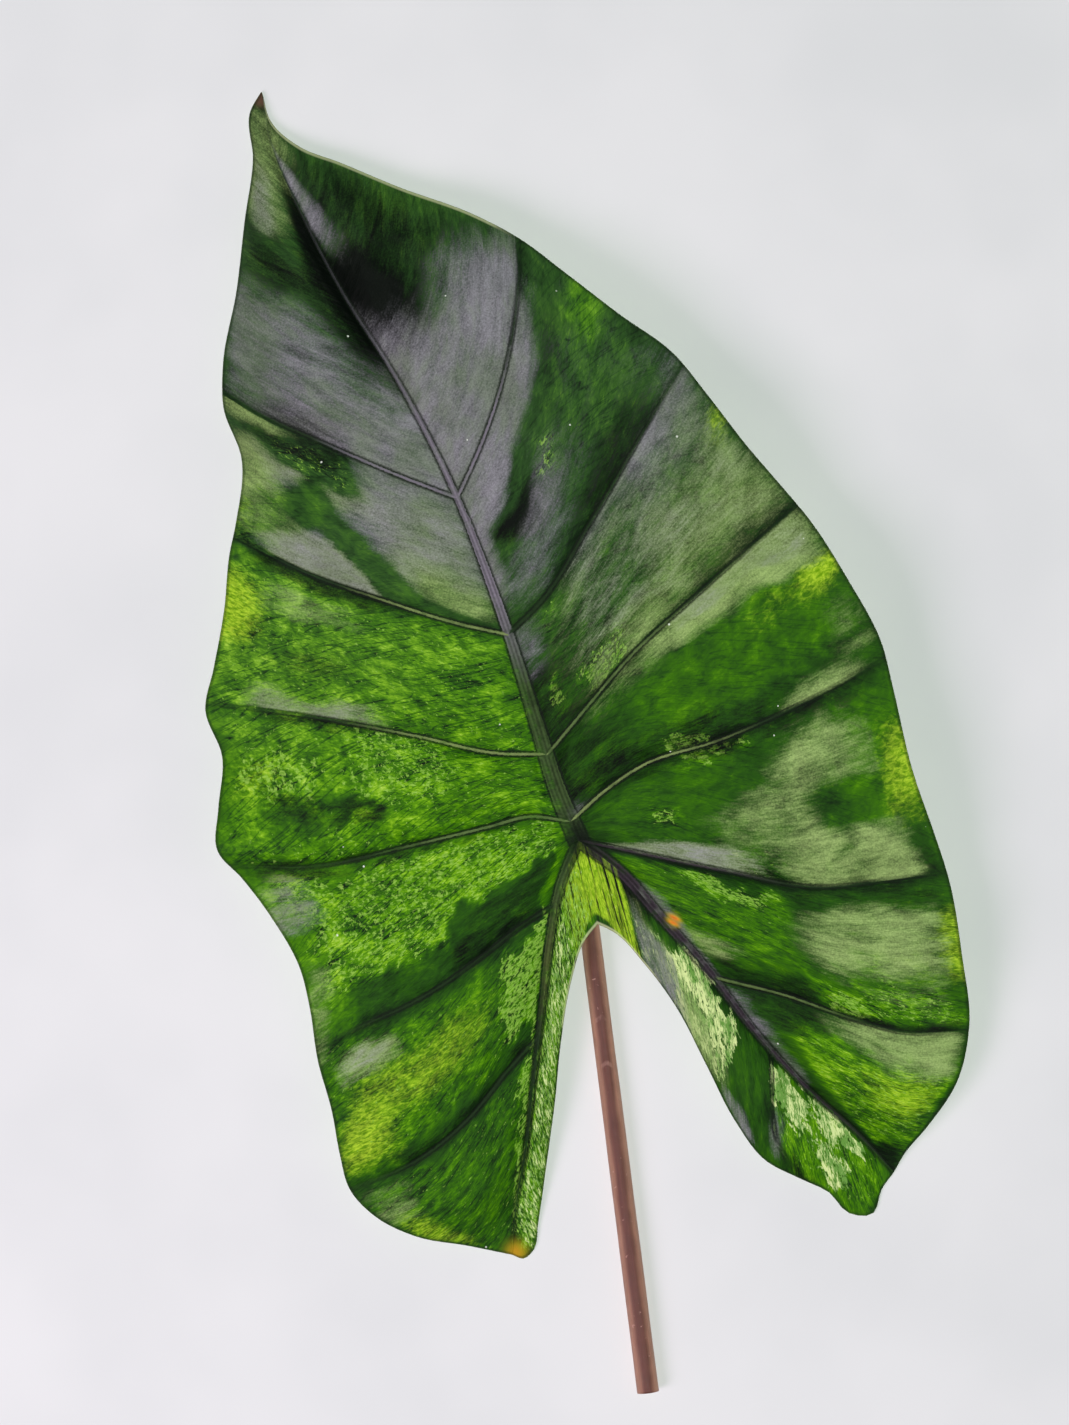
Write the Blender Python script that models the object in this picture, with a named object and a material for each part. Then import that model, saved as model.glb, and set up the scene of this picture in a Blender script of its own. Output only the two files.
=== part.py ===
"""One cut leaf of a variegated giant taro, lying face up on a flat surface.

The leaf is made of two pieces. The blade is a thin sheet that carries the midrib, the
two costae of its back lobes, the side veins, the swelling between them and the waved
edge. The stalk lies along the surface behind the blade and bends up to the hub, the
spot under the blade where the midrib and the costae meet.

Points are in millimetres in the leaf's own frame: the hub is at (0, 0) and the tip lies
along +Y. Where a point has a third number, it is the height of the sheet's upper side
above the surface that the leaf lies on.
"""
from dataclasses import dataclass

import bpy
import numpy as np

MM = 0.001

# Blade sizes
THICKNESS = 0.85
HUB_HEIGHT = 21.0
DRIP_TIP = (0, 243, 0.9)
HUB = (0, 0, HUB_HEIGHT)
LEFT_LOBE_END = (-67, -107, 0.9)
RIGHT_LOBE_END = (48, -129, 0.9)
SINUS = (-4.5, -25, 17.5)

# Stalk sizes
STALK_TOP_RADIUS = 3.0
STALK_CUT_RADIUS = 3.3
STALK_REACH = 167.0
STALK_BEND_REACH = 60.0
STALK_BEND_POWER = 3.4
STALK_DIRECTION = (-0.272, -0.962)
STALK_SIDES = 12
STALK_STRAIGHT_RINGS = 11
STALK_BEND_RINGS = 16
SEAT_GAP = 0.3

# Spine curves, from the tip or the hub outwards
MIDRIB = [DRIP_TIP, (-3, 230, 3.5), (-3, 202, 11), (-1, 177, 17), (4, 145, 21.5),
          (6.5, 107, 24.5), (6, 86, 25.5), (4.5, 61, 25), (2, 36, 23.5), (0, 15, 22), HUB]
LEFT_COSTA = [HUB, (-10, -10, 20), (-20, -25, 18), (-29, -41, 15.5), (-42, -64, 11),
              (-51, -80, 7.5), (-60, -94, 3.5), LEFT_LOBE_END]
RIGHT_COSTA = [HUB, (8, -14, 20), (13, -29, 19), (20, -50, 17), (26, -73, 13.5),
               (33, -93, 9), (43, -115, 3.5), RIGHT_LOBE_END]

# Waved edges, from the tip to the lobe ends and from the sinus to the lobe ends
RIGHT_EDGE = [DRIP_TIP, (-1, 234, 2), (4, 223, 4.5), (13, 214, 6), (27, 199.5, 8.5),
              (44, 183, 12), (53, 172, 13), (62, 156, 17.5), (72, 138, 20), (82, 122, 17),
              (86.5, 106, 20), (91, 88, 23), (96, 73, 20), (99.5, 62, 19),
              (103, 40, 24), (105, 18, 22), (103, 5, 21), (98.5, -20, 24),
              (97.5, -38, 21), (96.5, -53, 17), (91, -76, 18), (85, -97, 12),
              (76, -110, 10), (62, -120, 5.5), (53, -125, 2.5), RIGHT_LOBE_END]
LEFT_EDGE = [DRIP_TIP, (-5, 239, 1.5), (-10, 225, 3.5), (-19, 209.5, 5.5), (-30, 190, 7),
             (-42, 172, 6.5), (-47, 160, 6), (-48, 144, 4.5), (-57, 126.5, 9),
             (-62, 119, 11), (-70, 104, 13), (-80, 89, 11), (-87, 79, 10), (-88, 64, 7.5),
             (-95, 50, 11), (-100, 39, 12), (-96.5, 28, 9.5), (-93, 14, 10), (-91, -3, 12.5),
             (-93, -15, 11), (-97, -30, 9), (-99, -46, 10.5), (-102, -59, 9),
             (-103.5, -70, 6.5), (-100, -79.5, 6.5), (-91, -90, 7), (-78, -99, 4),
             LEFT_LOBE_END]
RIGHT_INNER_EDGE = [SINUS, (-1, -29, 17.5), (4, -42, 17.5), (7.5, -57, 16), (9, -76, 13),
                    (10.5, -96, 8.5), (14, -110, 5), (22, -120, 3), (28, -127, 1.5),
                    (31, -135, 0.9), (37, -138, 0.9), (43, -132, 0.9), RIGHT_LOBE_END]
LEFT_INNER_EDGE = [SINUS, (-10, -28, 17), (-18, -37, 15.5), (-28, -52.5, 12),
                   (-37, -69, 8.5), (-47, -86, 4.5), (-56, -101, 1.5), (-61, -108.5, 0.9),
                   (-64, -109.5, 0.9), LEFT_LOBE_END]

# Side veins, each from its root on the spine to its end on the edge
RIGHT_VEINS = [
    [(6.5, 107), (20, 119.5), (37, 140), (50, 163), (53.5, 172)],
    [(4.5, 64), (17, 69), (40, 85), (64, 103), (84, 118)],
    [(1.5, 27), (19, 36), (34, 43.5), (63, 54), (99, 66)],
    [(0, 6), (13, 10.5), (26, 13), (50, 11), (84, 12), (105, 14)],
    [(0, 0), (18, -12.5), (36, -25), (61, -41), (79, -46.5), (97, -51.5)],
    [(22, -54), (38, -66), (54, -80.5), (66, -90), (84.5, -98)],
]
LEFT_VEINS = [
    [(6.5, 107), (-7, 120), (-23, 137), (-38, 154), (-45.5, 165)],
    [(4.5, 64), (-10, 74.5), (-24.5, 87), (-43, 104), (-59, 123)],
    [(1.5, 27), (-12, 33), (-32, 47), (-57, 63.5), (-86, 80.5)],
    [(0, 6), (-10.5, 12), (-23, 14), (-47, 18), (-74, 23), (-98.5, 33)],
    [(-14.5, -15), (-26, -17), (-41, -21), (-62, -25), (-82, -26), (-96, -27)],
    [(-33, -49), (-47, -55.5), (-61, -63), (-80, -69), (-103.5, -70)],
]
INNER_VEIN = [(28.5, -81), (22, -95), (19.5, -108), (21.5, -119.5)]
HUB_LINE_LEFT = [(0, 0), (-45, -2), (-91.5, 2)]

# Swelling of the blade between its veins, and what the veins add to it
SWELL_HEIGHT = 4.2
SWELL_POWER = 0.8
SPINE_CREASE_LENGTH = 12.0
FULL_WIDTH = 45.0
SWELL_AT_EDGE = 0.25
SHOULDER_HEIGHT = {"right": 4.5, "left": 1.0, "inner": 0.5}
DROOP_POWER = {"right": 2.0, "left": 2.8, "inner": 1.5}

# Rib sizes, each at its root and at its end: half width, rise above and keel below
MIDRIB_RIB = {"half_width": (3.4, 1.0), "rise": (0.9, 0.3), "keel": (4.6, 0.4)}
COSTA_RIB = {"half_width": (2.8, 1.0), "rise": (0.8, 0.3), "keel": (4.0, 0.3)}
VEIN_RIB = {"half_width": (1.7, 0.9), "rise": (0.5, 0.25), "keel": (1.7, 0.3)}

# Hub boss under the blade: a flat seat for the stalk, blended out into the keels
BOSS_DEPTH = 5.0
SEAT_HEIGHT = HUB_HEIGHT - THICKNESS - BOSS_DEPTH
SEAT_RADIUS = 7.5
BOSS_RADIUS = 13.0

# Local hollows and swells of the sheet: centre, reach along x and y, height
DENTS = [
    ((20, 178), (11, 24), -5.0),
    ((25, 101), (11, 9), -3.0),
    ((42, 152), (12, 20), 2.5),
    ((-32, 136), (13, 8), -2.2),
    ((-50, 112), (15, 8), 1.5),
]

# Grid lines of the sheet, inside each panel between two veins and across each patch
MIDRIB_PANEL_LINES = [12, 6, 6, 7, 7]
LEFT_COSTA_PANEL_LINES = [5, 6, 7]
RIGHT_COSTA_PANEL_LINES = [8, 8]
HUB_ANCHOR = 5
HUB_LINE_PHASE = 4.5
VEIN_FOOT = 0.07
FOOT_LIMIT = 0.16
FOOT_STEP = 2.2
OUTER_CROSS_LINES = 11
INNER_CROSS_LINES = 5
SAME_POINT = 0.001
CURVE_SAMPLES = 600
BOW_SAMPLES = 60
RIB_SAMPLES = 160


def smooth_curve(points, samples=CURVE_SAMPLES):
    """Cubic curve through the points, each tangent taken from the point's neighbours."""
    knots = np.array(points, dtype=float)
    steps = np.linalg.norm(np.diff(knots[:, :2], axis=0), axis=1)
    along = np.concatenate(([0.0], np.cumsum(steps)))
    slopes = np.gradient(knots, along, axis=0)
    at = np.linspace(0.0, along[-1], samples)
    span = np.clip(np.searchsorted(along, at, side="right") - 1, 0, len(steps) - 1)
    width = steps[span][:, None]
    f = ((at - along[span]) / steps[span])[:, None]
    start = (1 + 2 * f) * (1 - f) ** 2 * knots[span] + f * (1 - f) ** 2 * width * slopes[span]
    end = f ** 2 * (3 - 2 * f) * knots[span + 1] + f ** 2 * (f - 1) * width * slopes[span + 1]
    return start + end


def lengths_along(curve):
    """Distance in plan from the curve's start to each of its points."""
    steps = np.linalg.norm(np.diff(curve[:, :2], axis=0), axis=1)
    return np.concatenate(([0.0], np.cumsum(steps)))


def station_of(curve, point):
    """Distance along the curve of its point nearest to the one given."""
    gaps = np.linalg.norm(curve[:, :2] - np.array(point[:2]), axis=1)
    return lengths_along(curve)[np.argmin(gaps)]


def point_at(curve, station):
    """Points of the curve at the distances given."""
    along = lengths_along(curve)
    return np.stack([np.interp(station, along, curve[:, i]) for i in range(curve.shape[1])], -1)


def smoothstep(x):
    """0 below 0, 1 above 1 and a soft rise between."""
    x = np.clip(x, 0.0, 1.0)
    return x * x * (3 - 2 * x)


@dataclass
class Anchor:
    """Leading line of a patch: where it leaves the spine and where it meets the edge.

    The phase is whole at a vein and half way between two at a plain line, so that the
    sheet can swell with the sine of the phase. A straight line has no vein.
    """

    root: float
    end: float
    phase: float
    vein: list = None

    def bow(self, across):
        """How far the vein lies off the straight line from its root to its end."""
        if self.vein is None:
            return np.zeros((len(across), 2))
        curve = smooth_curve(self.vein)
        shape = point_at(curve, across * lengths_along(curve)[-1])
        straight = shape[0] + (shape[-1] - shape[0]) * across[:, None]
        return shape - straight


@dataclass
class Patch:
    """Part of the sheet between a spine and an edge, with grid lines that follow veins."""

    side: str
    spine: np.ndarray
    edge: np.ndarray
    anchors: list
    panel_lines: list
    cross_lines: int
    rib_stations: list
    rib_widths: list

    def line_positions(self):
        """Position of every grid line: whole at an anchor, a fraction between two."""
        positions = [0.0]
        for panel, count in enumerate(self.panel_lines):
            positions.extend(panel + np.linspace(VEIN_FOOT, 1 - VEIN_FOOT, count))
            positions.append(panel + 1.0)
        return np.array(positions)

    def cross_positions(self, on_spine, reach):
        """Shares of the way from spine to edge, with three lines beside the spine's rib."""
        rib_width = np.interp(on_spine, self.rib_stations, self.rib_widths)
        foot = np.minimum(rib_width / np.maximum(reach, SAME_POINT), FOOT_LIMIT)[:, None]
        spread = np.linspace(0.0, 1.0, self.cross_lines)[None, :]
        beside = foot * np.array([[0.0, 0.5, 1.0]])
        beyond = FOOT_STEP * foot + (1 - FOOT_STEP * foot) * spread
        return np.hstack([beside, beyond])

    def bows(self, position, across):
        """Bow of each grid line, blended from the bows of the anchors on its two sides."""
        samples = np.linspace(0.0, 1.0, BOW_SAMPLES)
        table = np.stack([anchor.bow(samples) for anchor in self.anchors])
        panel = np.clip(np.floor(position).astype(int), 0, len(self.anchors) - 2)
        blend = smoothstep(position - panel)[:, None, None]
        lines = table[panel] * (1 - blend) + table[panel + 1] * blend
        x_bows = [np.interp(shares, samples, line[:, 0]) for shares, line in zip(across, lines)]
        y_bows = [np.interp(shares, samples, line[:, 1]) for shares, line in zip(across, lines)]
        return np.stack([x_bows, y_bows], axis=-1)

    def heights(self, across, phase, reach, spine_height, edge_height):
        """Sheet height: droop from spine to edge, a shoulder and a swell between veins."""
        droop = across ** DROOP_POWER[self.side]
        height = spine_height[:, None] * (1 - droop) + edge_height[:, None] * droop
        crease = smoothstep(reach / FULL_WIDTH)[:, None]
        crease = crease * (1 - np.exp(-across * reach[:, None] / SPINE_CREASE_LENGTH))
        height += SHOULDER_HEIGHT[self.side] * crease * (1 - across ** 2)
        swell = np.abs(np.sin(np.pi * phase))[:, None] ** SWELL_POWER
        fade = 1 - (1 - SWELL_AT_EDGE) * across ** 3
        return height + SWELL_HEIGHT * swell * crease * fade

    def grid(self):
        """Plan points and sheet heights of the patch, one row for each grid line."""
        position = self.line_positions()
        index = np.arange(len(self.anchors))
        on_spine = np.interp(position, index, [a.root for a in self.anchors])
        on_edge = np.interp(position, index, [a.end for a in self.anchors])
        phase = np.interp(position, index, [a.phase for a in self.anchors])
        spine = point_at(self.spine, on_spine)
        edge = point_at(self.edge, on_edge)
        reach = np.linalg.norm(edge[:, :2] - spine[:, :2], axis=1)
        across = self.cross_positions(on_spine, reach)
        share = across[..., None]
        plan = spine[:, None, :2] * (1 - share) + edge[:, None, :2] * share
        plan += self.bows(position, across)
        return plan, self.heights(across, phase, reach, spine[:, 2], edge[:, 2])


def outer_patch(side, costa_points, edge_points, veins, plain_line, costa_lines):
    """Patch from the midrib and one costa out to the blade's outer edge."""
    midrib = smooth_curve(MIDRIB)
    costa = smooth_curve(costa_points)
    spine = np.vstack([midrib, costa[1:]])
    edge = smooth_curve(edge_points)
    spine_length, edge_length = lengths_along(spine)[-1], lengths_along(edge)[-1]
    lines = [(vein, number + 1.0) for number, vein in enumerate(veins)]
    if plain_line is not None:
        lines.append((plain_line, HUB_LINE_PHASE))
    anchors = [Anchor(station_of(spine, line[0]), station_of(edge, line[-1]), phase, line)
               for line, phase in lines]
    anchors += [Anchor(0.0, 0.0, 0.0), Anchor(spine_length, edge_length, len(veins) + 1.0)]
    anchors.sort(key=lambda anchor: anchor.root)
    hub_station = lengths_along(midrib)[-1]
    stations = [0.0, hub_station, hub_station + SAME_POINT, spine_length]
    widths = [*MIDRIB_RIB["half_width"][::-1], *COSTA_RIB["half_width"]]
    return Patch(side, spine, edge, anchors, MIDRIB_PANEL_LINES + costa_lines,
                 OUTER_CROSS_LINES, stations, widths)


def inner_patch(costa_points, edge_points, costa_roots, costa_lines, vein):
    """Patch from one costa to the edge of the sinus, on the outer patch's costa stations."""
    spine = smooth_curve(costa_points)
    edge = smooth_curve(edge_points)
    spine_length, edge_length = lengths_along(spine)[-1], lengths_along(edge)[-1]
    matches = [(0.0, 0.0), (spine_length, edge_length)]
    if vein is not None:
        matches.insert(1, (station_of(spine, vein[0]), station_of(edge, vein[-1])))
    on_spine, on_edge = zip(*matches)
    anchors = [Anchor(root, np.interp(root, on_spine, on_edge), root / spine_length)
               for root in costa_roots]
    return Patch("inner", spine, edge, anchors, costa_lines, INNER_CROSS_LINES,
                 [0.0, spine_length], COSTA_RIB["half_width"])


def all_patches():
    """The four patches that make the sheet: outer and inner, right and left."""
    right = outer_patch("right", RIGHT_COSTA, RIGHT_EDGE, RIGHT_VEINS, None,
                        RIGHT_COSTA_PANEL_LINES)
    left = outer_patch("left", LEFT_COSTA, LEFT_EDGE, LEFT_VEINS, HUB_LINE_LEFT,
                       LEFT_COSTA_PANEL_LINES)
    hub_station = lengths_along(smooth_curve(MIDRIB))[-1]
    right_roots, left_roots = [[a.root - hub_station for a in patch.anchors[HUB_ANCHOR:]]
                               for patch in (right, left)]
    inner_right = inner_patch(RIGHT_COSTA, RIGHT_INNER_EDGE, right_roots,
                              RIGHT_COSTA_PANEL_LINES, INNER_VEIN)
    inner_left = inner_patch(LEFT_COSTA, LEFT_INNER_EDGE, left_roots,
                             LEFT_COSTA_PANEL_LINES, None)
    return [right, left, inner_right, inner_left]


def all_ribs():
    """Every rib with its sizes."""
    ribs = [(MIDRIB[::-1], MIDRIB_RIB), (LEFT_COSTA, COSTA_RIB), (RIGHT_COSTA, COSTA_RIB)]
    ribs += [(vein, VEIN_RIB) for vein in RIGHT_VEINS + LEFT_VEINS + [INNER_VEIN]]
    return ribs


def rib_relief(plan):
    """Rise above and keel below the sheet at each plan point, from the nearest ribs."""
    rise = np.zeros(len(plan))
    keel = np.zeros(len(plan))
    for points, sizes in all_ribs():
        curve = smooth_curve(points, RIB_SAMPLES)[:, :2]
        gaps = np.linalg.norm(plan[:, None, :] - curve[None, :, :], axis=2)
        nearest = np.argmin(gaps, axis=1)
        along = nearest / (len(curve) - 1)
        half_width = np.interp(along, [0, 1], sizes["half_width"])
        profile = np.clip(1 - (gaps.min(axis=1) / half_width) ** 2, 0, 1)
        rise = np.maximum(rise, profile * np.interp(along, [0, 1], sizes["rise"]))
        keel = np.maximum(keel, profile * np.interp(along, [0, 1], sizes["keel"]))
    return rise, keel


def dent_heights(plan):
    """Sum of the local hollows and swells at each plan point."""
    total = np.zeros(len(plan))
    for centre, reach, height in DENTS:
        offset = (plan - np.array(centre)) / np.array(reach)
        total += height * np.exp(-np.sum(offset ** 2, axis=1))
    return total


def blade_faces(plan, grids):
    """Triangles of the sheet as seen from above, with the grids' shared points joined."""
    keys = np.round(plan / SAME_POINT)
    _, first, joined = np.unique(keys, axis=0, return_index=True, return_inverse=True)
    joined = joined.reshape(-1)
    triangles = []
    start = 0
    for rows, columns in grids:
        number = start + np.arange(rows * columns).reshape(rows, columns)
        a, b = number[:-1, :-1].ravel(), number[:-1, 1:].ravel()
        c, d = number[1:, 1:].ravel(), number[1:, :-1].ravel()
        triangles += [np.stack([a, b, c], 1), np.stack([a, c, d], 1)]
        start += rows * columns
    triangles = joined[np.vstack(triangles)]
    distinct = ((triangles[:, 0] != triangles[:, 1]) & (triangles[:, 1] != triangles[:, 2])
                & (triangles[:, 2] != triangles[:, 0]))
    triangles = triangles[distinct]
    corners = plan[first][triangles]
    edge_one, edge_two = corners[:, 1] - corners[:, 0], corners[:, 2] - corners[:, 0]
    turn = edge_one[:, 0] * edge_two[:, 1] - edge_one[:, 1] * edge_two[:, 0]
    triangles[turn < 0] = triangles[turn < 0][:, ::-1]
    return first, triangles


def rim_faces(triangles, count):
    """Triangles that join the upper and lower sheets along the open border."""
    sides = np.vstack([triangles[:, [0, 1]], triangles[:, [1, 2]], triangles[:, [2, 0]]])
    known = {(a, b) for a, b in sides.tolist()}
    border = [(a, b) for a, b in known if (b, a) not in known]
    rim = []
    for a, b in sorted(border):
        rim.append((a, a + count, b + count))
        rim.append((a, b + count, b))
    return rim


def blade_mesh():
    """Vertices and triangles of the closed blade, in millimetres."""
    plans, heights, grids = [], [], []
    for patch in all_patches():
        plan, height = patch.grid()
        grids.append(height.shape)
        plans.append(plan.reshape(-1, 2))
        heights.append(height.ravel())
    plan, height = np.vstack(plans), np.concatenate(heights)
    first, triangles = blade_faces(plan, grids)
    plan, height = plan[first], height[first]
    height = height + dent_heights(plan)
    rise, keel = rib_relief(plan)
    under = np.maximum(height - THICKNESS - keel, 0.0)
    top = np.maximum(height, under + THICKNESS) + rise
    from_hub = np.linalg.norm(plan, axis=1)
    blend = smoothstep((from_hub - SEAT_RADIUS) / (BOSS_RADIUS - SEAT_RADIUS))
    under = SEAT_HEIGHT + (under - SEAT_HEIGHT) * blend
    count = len(plan)
    vertices = np.vstack([np.column_stack([plan, top]), np.column_stack([plan, under])])
    faces = triangles.tolist() + (triangles[:, ::-1] + count).tolist()
    return vertices, faces + rim_faces(triangles, count)


def stalk_axis():
    """Reach from the hub, radius, height and slope of each ring along the stalk."""
    straight = np.linspace(STALK_REACH, STALK_BEND_REACH, STALK_STRAIGHT_RINGS)
    bend = np.linspace(STALK_BEND_REACH, 0.0, STALK_BEND_RINGS)
    reach = np.concatenate([straight[:-1], bend])
    radius = np.interp(reach, [0, STALK_REACH], [STALK_TOP_RADIUS, STALK_CUT_RADIUS])
    resting = radius * np.cos(np.pi / STALK_SIDES)
    seat = SEAT_HEIGHT - SEAT_GAP
    lift = np.clip(1 - reach / STALK_BEND_REACH, 0, 1)
    height = resting + (seat - resting) * lift ** STALK_BEND_POWER
    slope = STALK_BEND_POWER * (seat - resting) * lift ** (STALK_BEND_POWER - 1) / STALK_BEND_REACH
    return reach, radius, height, slope


def stalk_mesh():
    """Vertices and faces of the stalk: rings along its axis from the cut end to the hub.

    Each ring has a flat side down, which lies on the surface along the straight stretch.
    The last ring is carried on along the axis until it lies level in the hub's seat.
    """
    backward = np.array([*STALK_DIRECTION, 0.0]) / np.linalg.norm(STALK_DIRECTION)
    sideways = np.array([backward[1], -backward[0], 0.0])
    angles = 2 * np.pi * (np.arange(STALK_SIDES) + 0.5) / STALK_SIDES
    circle = np.cos(angles)[:, None] * sideways
    rings = []
    for reach, radius, height, slope in zip(*stalk_axis()):
        tangent = np.array([-backward[0], -backward[1], slope]) / np.hypot(1.0, slope)
        normal = np.cross(tangent, sideways)
        centre = backward * reach + np.array([0.0, 0.0, height])
        rings.append(centre + radius * (circle + np.sin(angles)[:, None] * normal))
    travel = (SEAT_HEIGHT - SEAT_GAP - rings[-1][:, 2]) / tangent[2]
    rings[-1] = rings[-1] + travel[:, None] * tangent
    faces = []
    for start in range(0, (len(rings) - 1) * STALK_SIDES, STALK_SIDES):
        for side in range(STALK_SIDES):
            a, b = start + side, start + (side + 1) % STALK_SIDES
            faces.append((a, b, b + STALK_SIDES, a + STALK_SIDES))
    last = (len(rings) - 1) * STALK_SIDES
    faces.append(tuple(range(STALK_SIDES))[::-1])
    faces.append(tuple(range(last, last + STALK_SIDES)))
    return np.vstack(rings), faces


def finish(name, colour, roughness):
    """Plain material of one piece."""
    material = bpy.data.materials.new(name)
    material.use_nodes = True
    surface = material.node_tree.nodes["Principled BSDF"]
    surface.inputs["Base Color"].default_value = (*colour, 1.0)
    surface.inputs["Roughness"].default_value = roughness
    surface.inputs["Metallic"].default_value = 0.0
    return material


def add_piece(name, vertices, faces, material):
    """Object of one closed piece, smooth but for its sharp edges."""
    mesh = bpy.data.meshes.new(name)
    mesh.from_pydata((vertices * MM).tolist(), [], faces)
    mesh.update()
    mesh.shade_smooth()
    mesh.set_sharp_from_angle(angle=np.radians(50))
    mesh.materials.append(material)
    piece = bpy.data.objects.new(name, mesh)
    bpy.context.scene.collection.objects.link(piece)
    return piece


def main():
    """Build both pieces, with the middle of the leaf's box over the origin."""
    for old in list(bpy.data.objects):
        bpy.data.objects.remove(old, do_unlink=True)
    blade_vertices, blade_triangles = blade_mesh()
    stalk_vertices, stalk_faces = stalk_mesh()
    both = np.vstack([blade_vertices, stalk_vertices])
    middle = (both.min(axis=0) + both.max(axis=0)) / 2
    middle[2] = 0.0
    green = finish("blade_green", (0.035, 0.12, 0.02), 0.4)
    brown = finish("stalk_brown", (0.17, 0.06, 0.05), 0.45)
    add_piece("leaf_blade", blade_vertices - middle, blade_triangles, green)
    add_piece("leaf_stalk", stalk_vertices - middle, stalk_faces, brown)


if __name__ == "__main__":
    main()
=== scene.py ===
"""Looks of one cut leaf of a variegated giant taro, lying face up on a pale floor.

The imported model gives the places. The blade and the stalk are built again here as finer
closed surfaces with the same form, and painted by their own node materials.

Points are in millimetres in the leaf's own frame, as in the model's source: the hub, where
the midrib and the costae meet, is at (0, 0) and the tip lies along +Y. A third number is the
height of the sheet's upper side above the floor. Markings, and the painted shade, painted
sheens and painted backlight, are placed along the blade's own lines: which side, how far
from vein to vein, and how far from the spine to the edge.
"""

import logging
import math
from dataclasses import dataclass
from enum import Enum

import bpy
import numpy as np
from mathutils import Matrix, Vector


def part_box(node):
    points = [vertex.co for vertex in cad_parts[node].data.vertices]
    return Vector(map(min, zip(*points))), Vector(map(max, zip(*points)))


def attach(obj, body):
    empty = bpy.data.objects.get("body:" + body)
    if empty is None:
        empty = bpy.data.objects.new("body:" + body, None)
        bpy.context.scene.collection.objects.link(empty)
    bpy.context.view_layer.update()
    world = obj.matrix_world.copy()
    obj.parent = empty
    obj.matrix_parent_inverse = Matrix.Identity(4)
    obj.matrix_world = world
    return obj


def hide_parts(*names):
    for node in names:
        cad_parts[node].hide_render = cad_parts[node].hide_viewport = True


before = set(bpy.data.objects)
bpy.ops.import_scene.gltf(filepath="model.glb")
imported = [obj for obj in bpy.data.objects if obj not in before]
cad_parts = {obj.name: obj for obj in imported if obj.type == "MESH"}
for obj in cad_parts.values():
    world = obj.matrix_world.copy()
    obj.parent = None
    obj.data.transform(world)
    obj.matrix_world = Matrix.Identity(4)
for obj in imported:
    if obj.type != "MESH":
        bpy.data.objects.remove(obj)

Pair = tuple[float, float]
Triple = tuple[float, float, float]
Four = tuple[float, float, float, float]
Points = tuple[tuple[float, ...], ...]
Colour = Triple
Stops = tuple[tuple[float, Colour], ...]
Waves = tuple[tuple[float, Pair], ...]
Spots = tuple[tuple[Pair, float, float], ...]
Limit = float | Pair
Row = tuple[Limit, Limit, Pair, float, Four]

MM = 0.001
FLOW_MAP = "flow"

# Millimetres: places nearer than SAME_POINT are one, and no gap is told past FAR
SAME_POINT = 0.001
FAR = 30.0

# A calm marking's edge softer than CRISP is MELT times as soft
CRISP = 1.3
MELT = 3.0

BUMP_STRENGTH = 0.8

log = logging.getLogger("taro_leaf")


class Side(Enum):
    """The four parts of the sheet, each between a spine and an edge."""

    RIGHT = "right"
    LEFT = "left"
    INNER_RIGHT = "inner right"
    INNER_LEFT = "inner left"


class Tint(Enum):
    """Kinds of marking, and of painted light: shade, sheens, backlight and a lit rim. The value is the
    name of the mesh attribute that holds it.
    """

    VIVID = "vivid"
    # yellow-green, partly pigment and partly painted light shining through the blade
    GLOW = "glow"
    LIME = "lime"
    CREAM = "cream"
    # painted shade: near-black where the blade turns from the light, in hollows and beside veins
    SHADE = "shade"
    # painted grey-green sheen: the light's reflection on slopes that face it
    SAGE = "sage"
    # painted lavender-grey sheen: the light's reflection on the dark blade
    BLOOM = "bloom"
    # painted highlight along the rim where it catches the light
    LIT_RIM = "pale_rim"
    STRIPED = "striped"
    PLAIN = "plain"


# Painted shade, painted sheens and the glow, partly painted backlight, have soft edges. The markings have
# ragged ones.
CALM_TINTS = (Tint.GLOW, Tint.SHADE, Tint.SAGE, Tint.BLOOM)


# Curves, soft steps, colours and grids


def smoothstep(x: np.ndarray) -> np.ndarray:
    """0 below 0, 1 above 1 and the cubic 3xx - 2xxx between."""
    x = np.clip(x, 0.0, 1.0)
    return x * x * (3 - 2 * x)


def smooth_curve(points: Points, samples: int = 600) -> np.ndarray:
    """Cubic curve through the points, each tangent taken from the point's neighbours.

    Args:
        points: places that the curve passes, with two or three numbers each.
        samples: how many points the result has, evenly spaced along the chords.

    Returns:
        The sampled curve, one row a point: Hermite's cubic in each span.
    """
    knots = np.array(points, dtype=float)
    steps = np.linalg.norm(np.diff(knots[:, :2], axis=0), axis=1)
    along = np.concatenate(([0.0], np.cumsum(steps)))
    slopes = np.gradient(knots, along, axis=0)
    at = np.linspace(0.0, along[-1], samples)
    span = np.clip(np.searchsorted(along, at, side="right") - 1, 0, len(steps) - 1)
    width = steps[span][:, None]
    f = ((at - along[span]) / steps[span])[:, None]
    start = (1 + 2 * f) * (1 - f) ** 2 * knots[span] + f * (1 - f) ** 2 * width * slopes[span]
    end = f**2 * (3 - 2 * f) * knots[span + 1] + f**2 * (f - 1) * width * slopes[span + 1]
    return start + end


def lengths_along(curve: np.ndarray) -> np.ndarray:
    """Distance in plan from the curve's start to each of its points."""
    steps = np.linalg.norm(np.diff(curve[:, :2], axis=0), axis=1)
    return np.concatenate(([0.0], np.cumsum(steps)))


def station_of(curve: np.ndarray, point: tuple[float, ...]) -> float:
    """Distance along the curve of its point nearest to the one given."""
    gaps = np.linalg.norm(curve[:, :2] - np.array(point[:2]), axis=1)
    return float(lengths_along(curve)[np.argmin(gaps)])


def point_at(curve: np.ndarray, station: np.ndarray) -> np.ndarray:
    """Points of the curve at the distances given."""
    along = lengths_along(curve)
    return np.stack([np.interp(station, along, curve[:, i]) for i in range(curve.shape[1])], -1)


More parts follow.
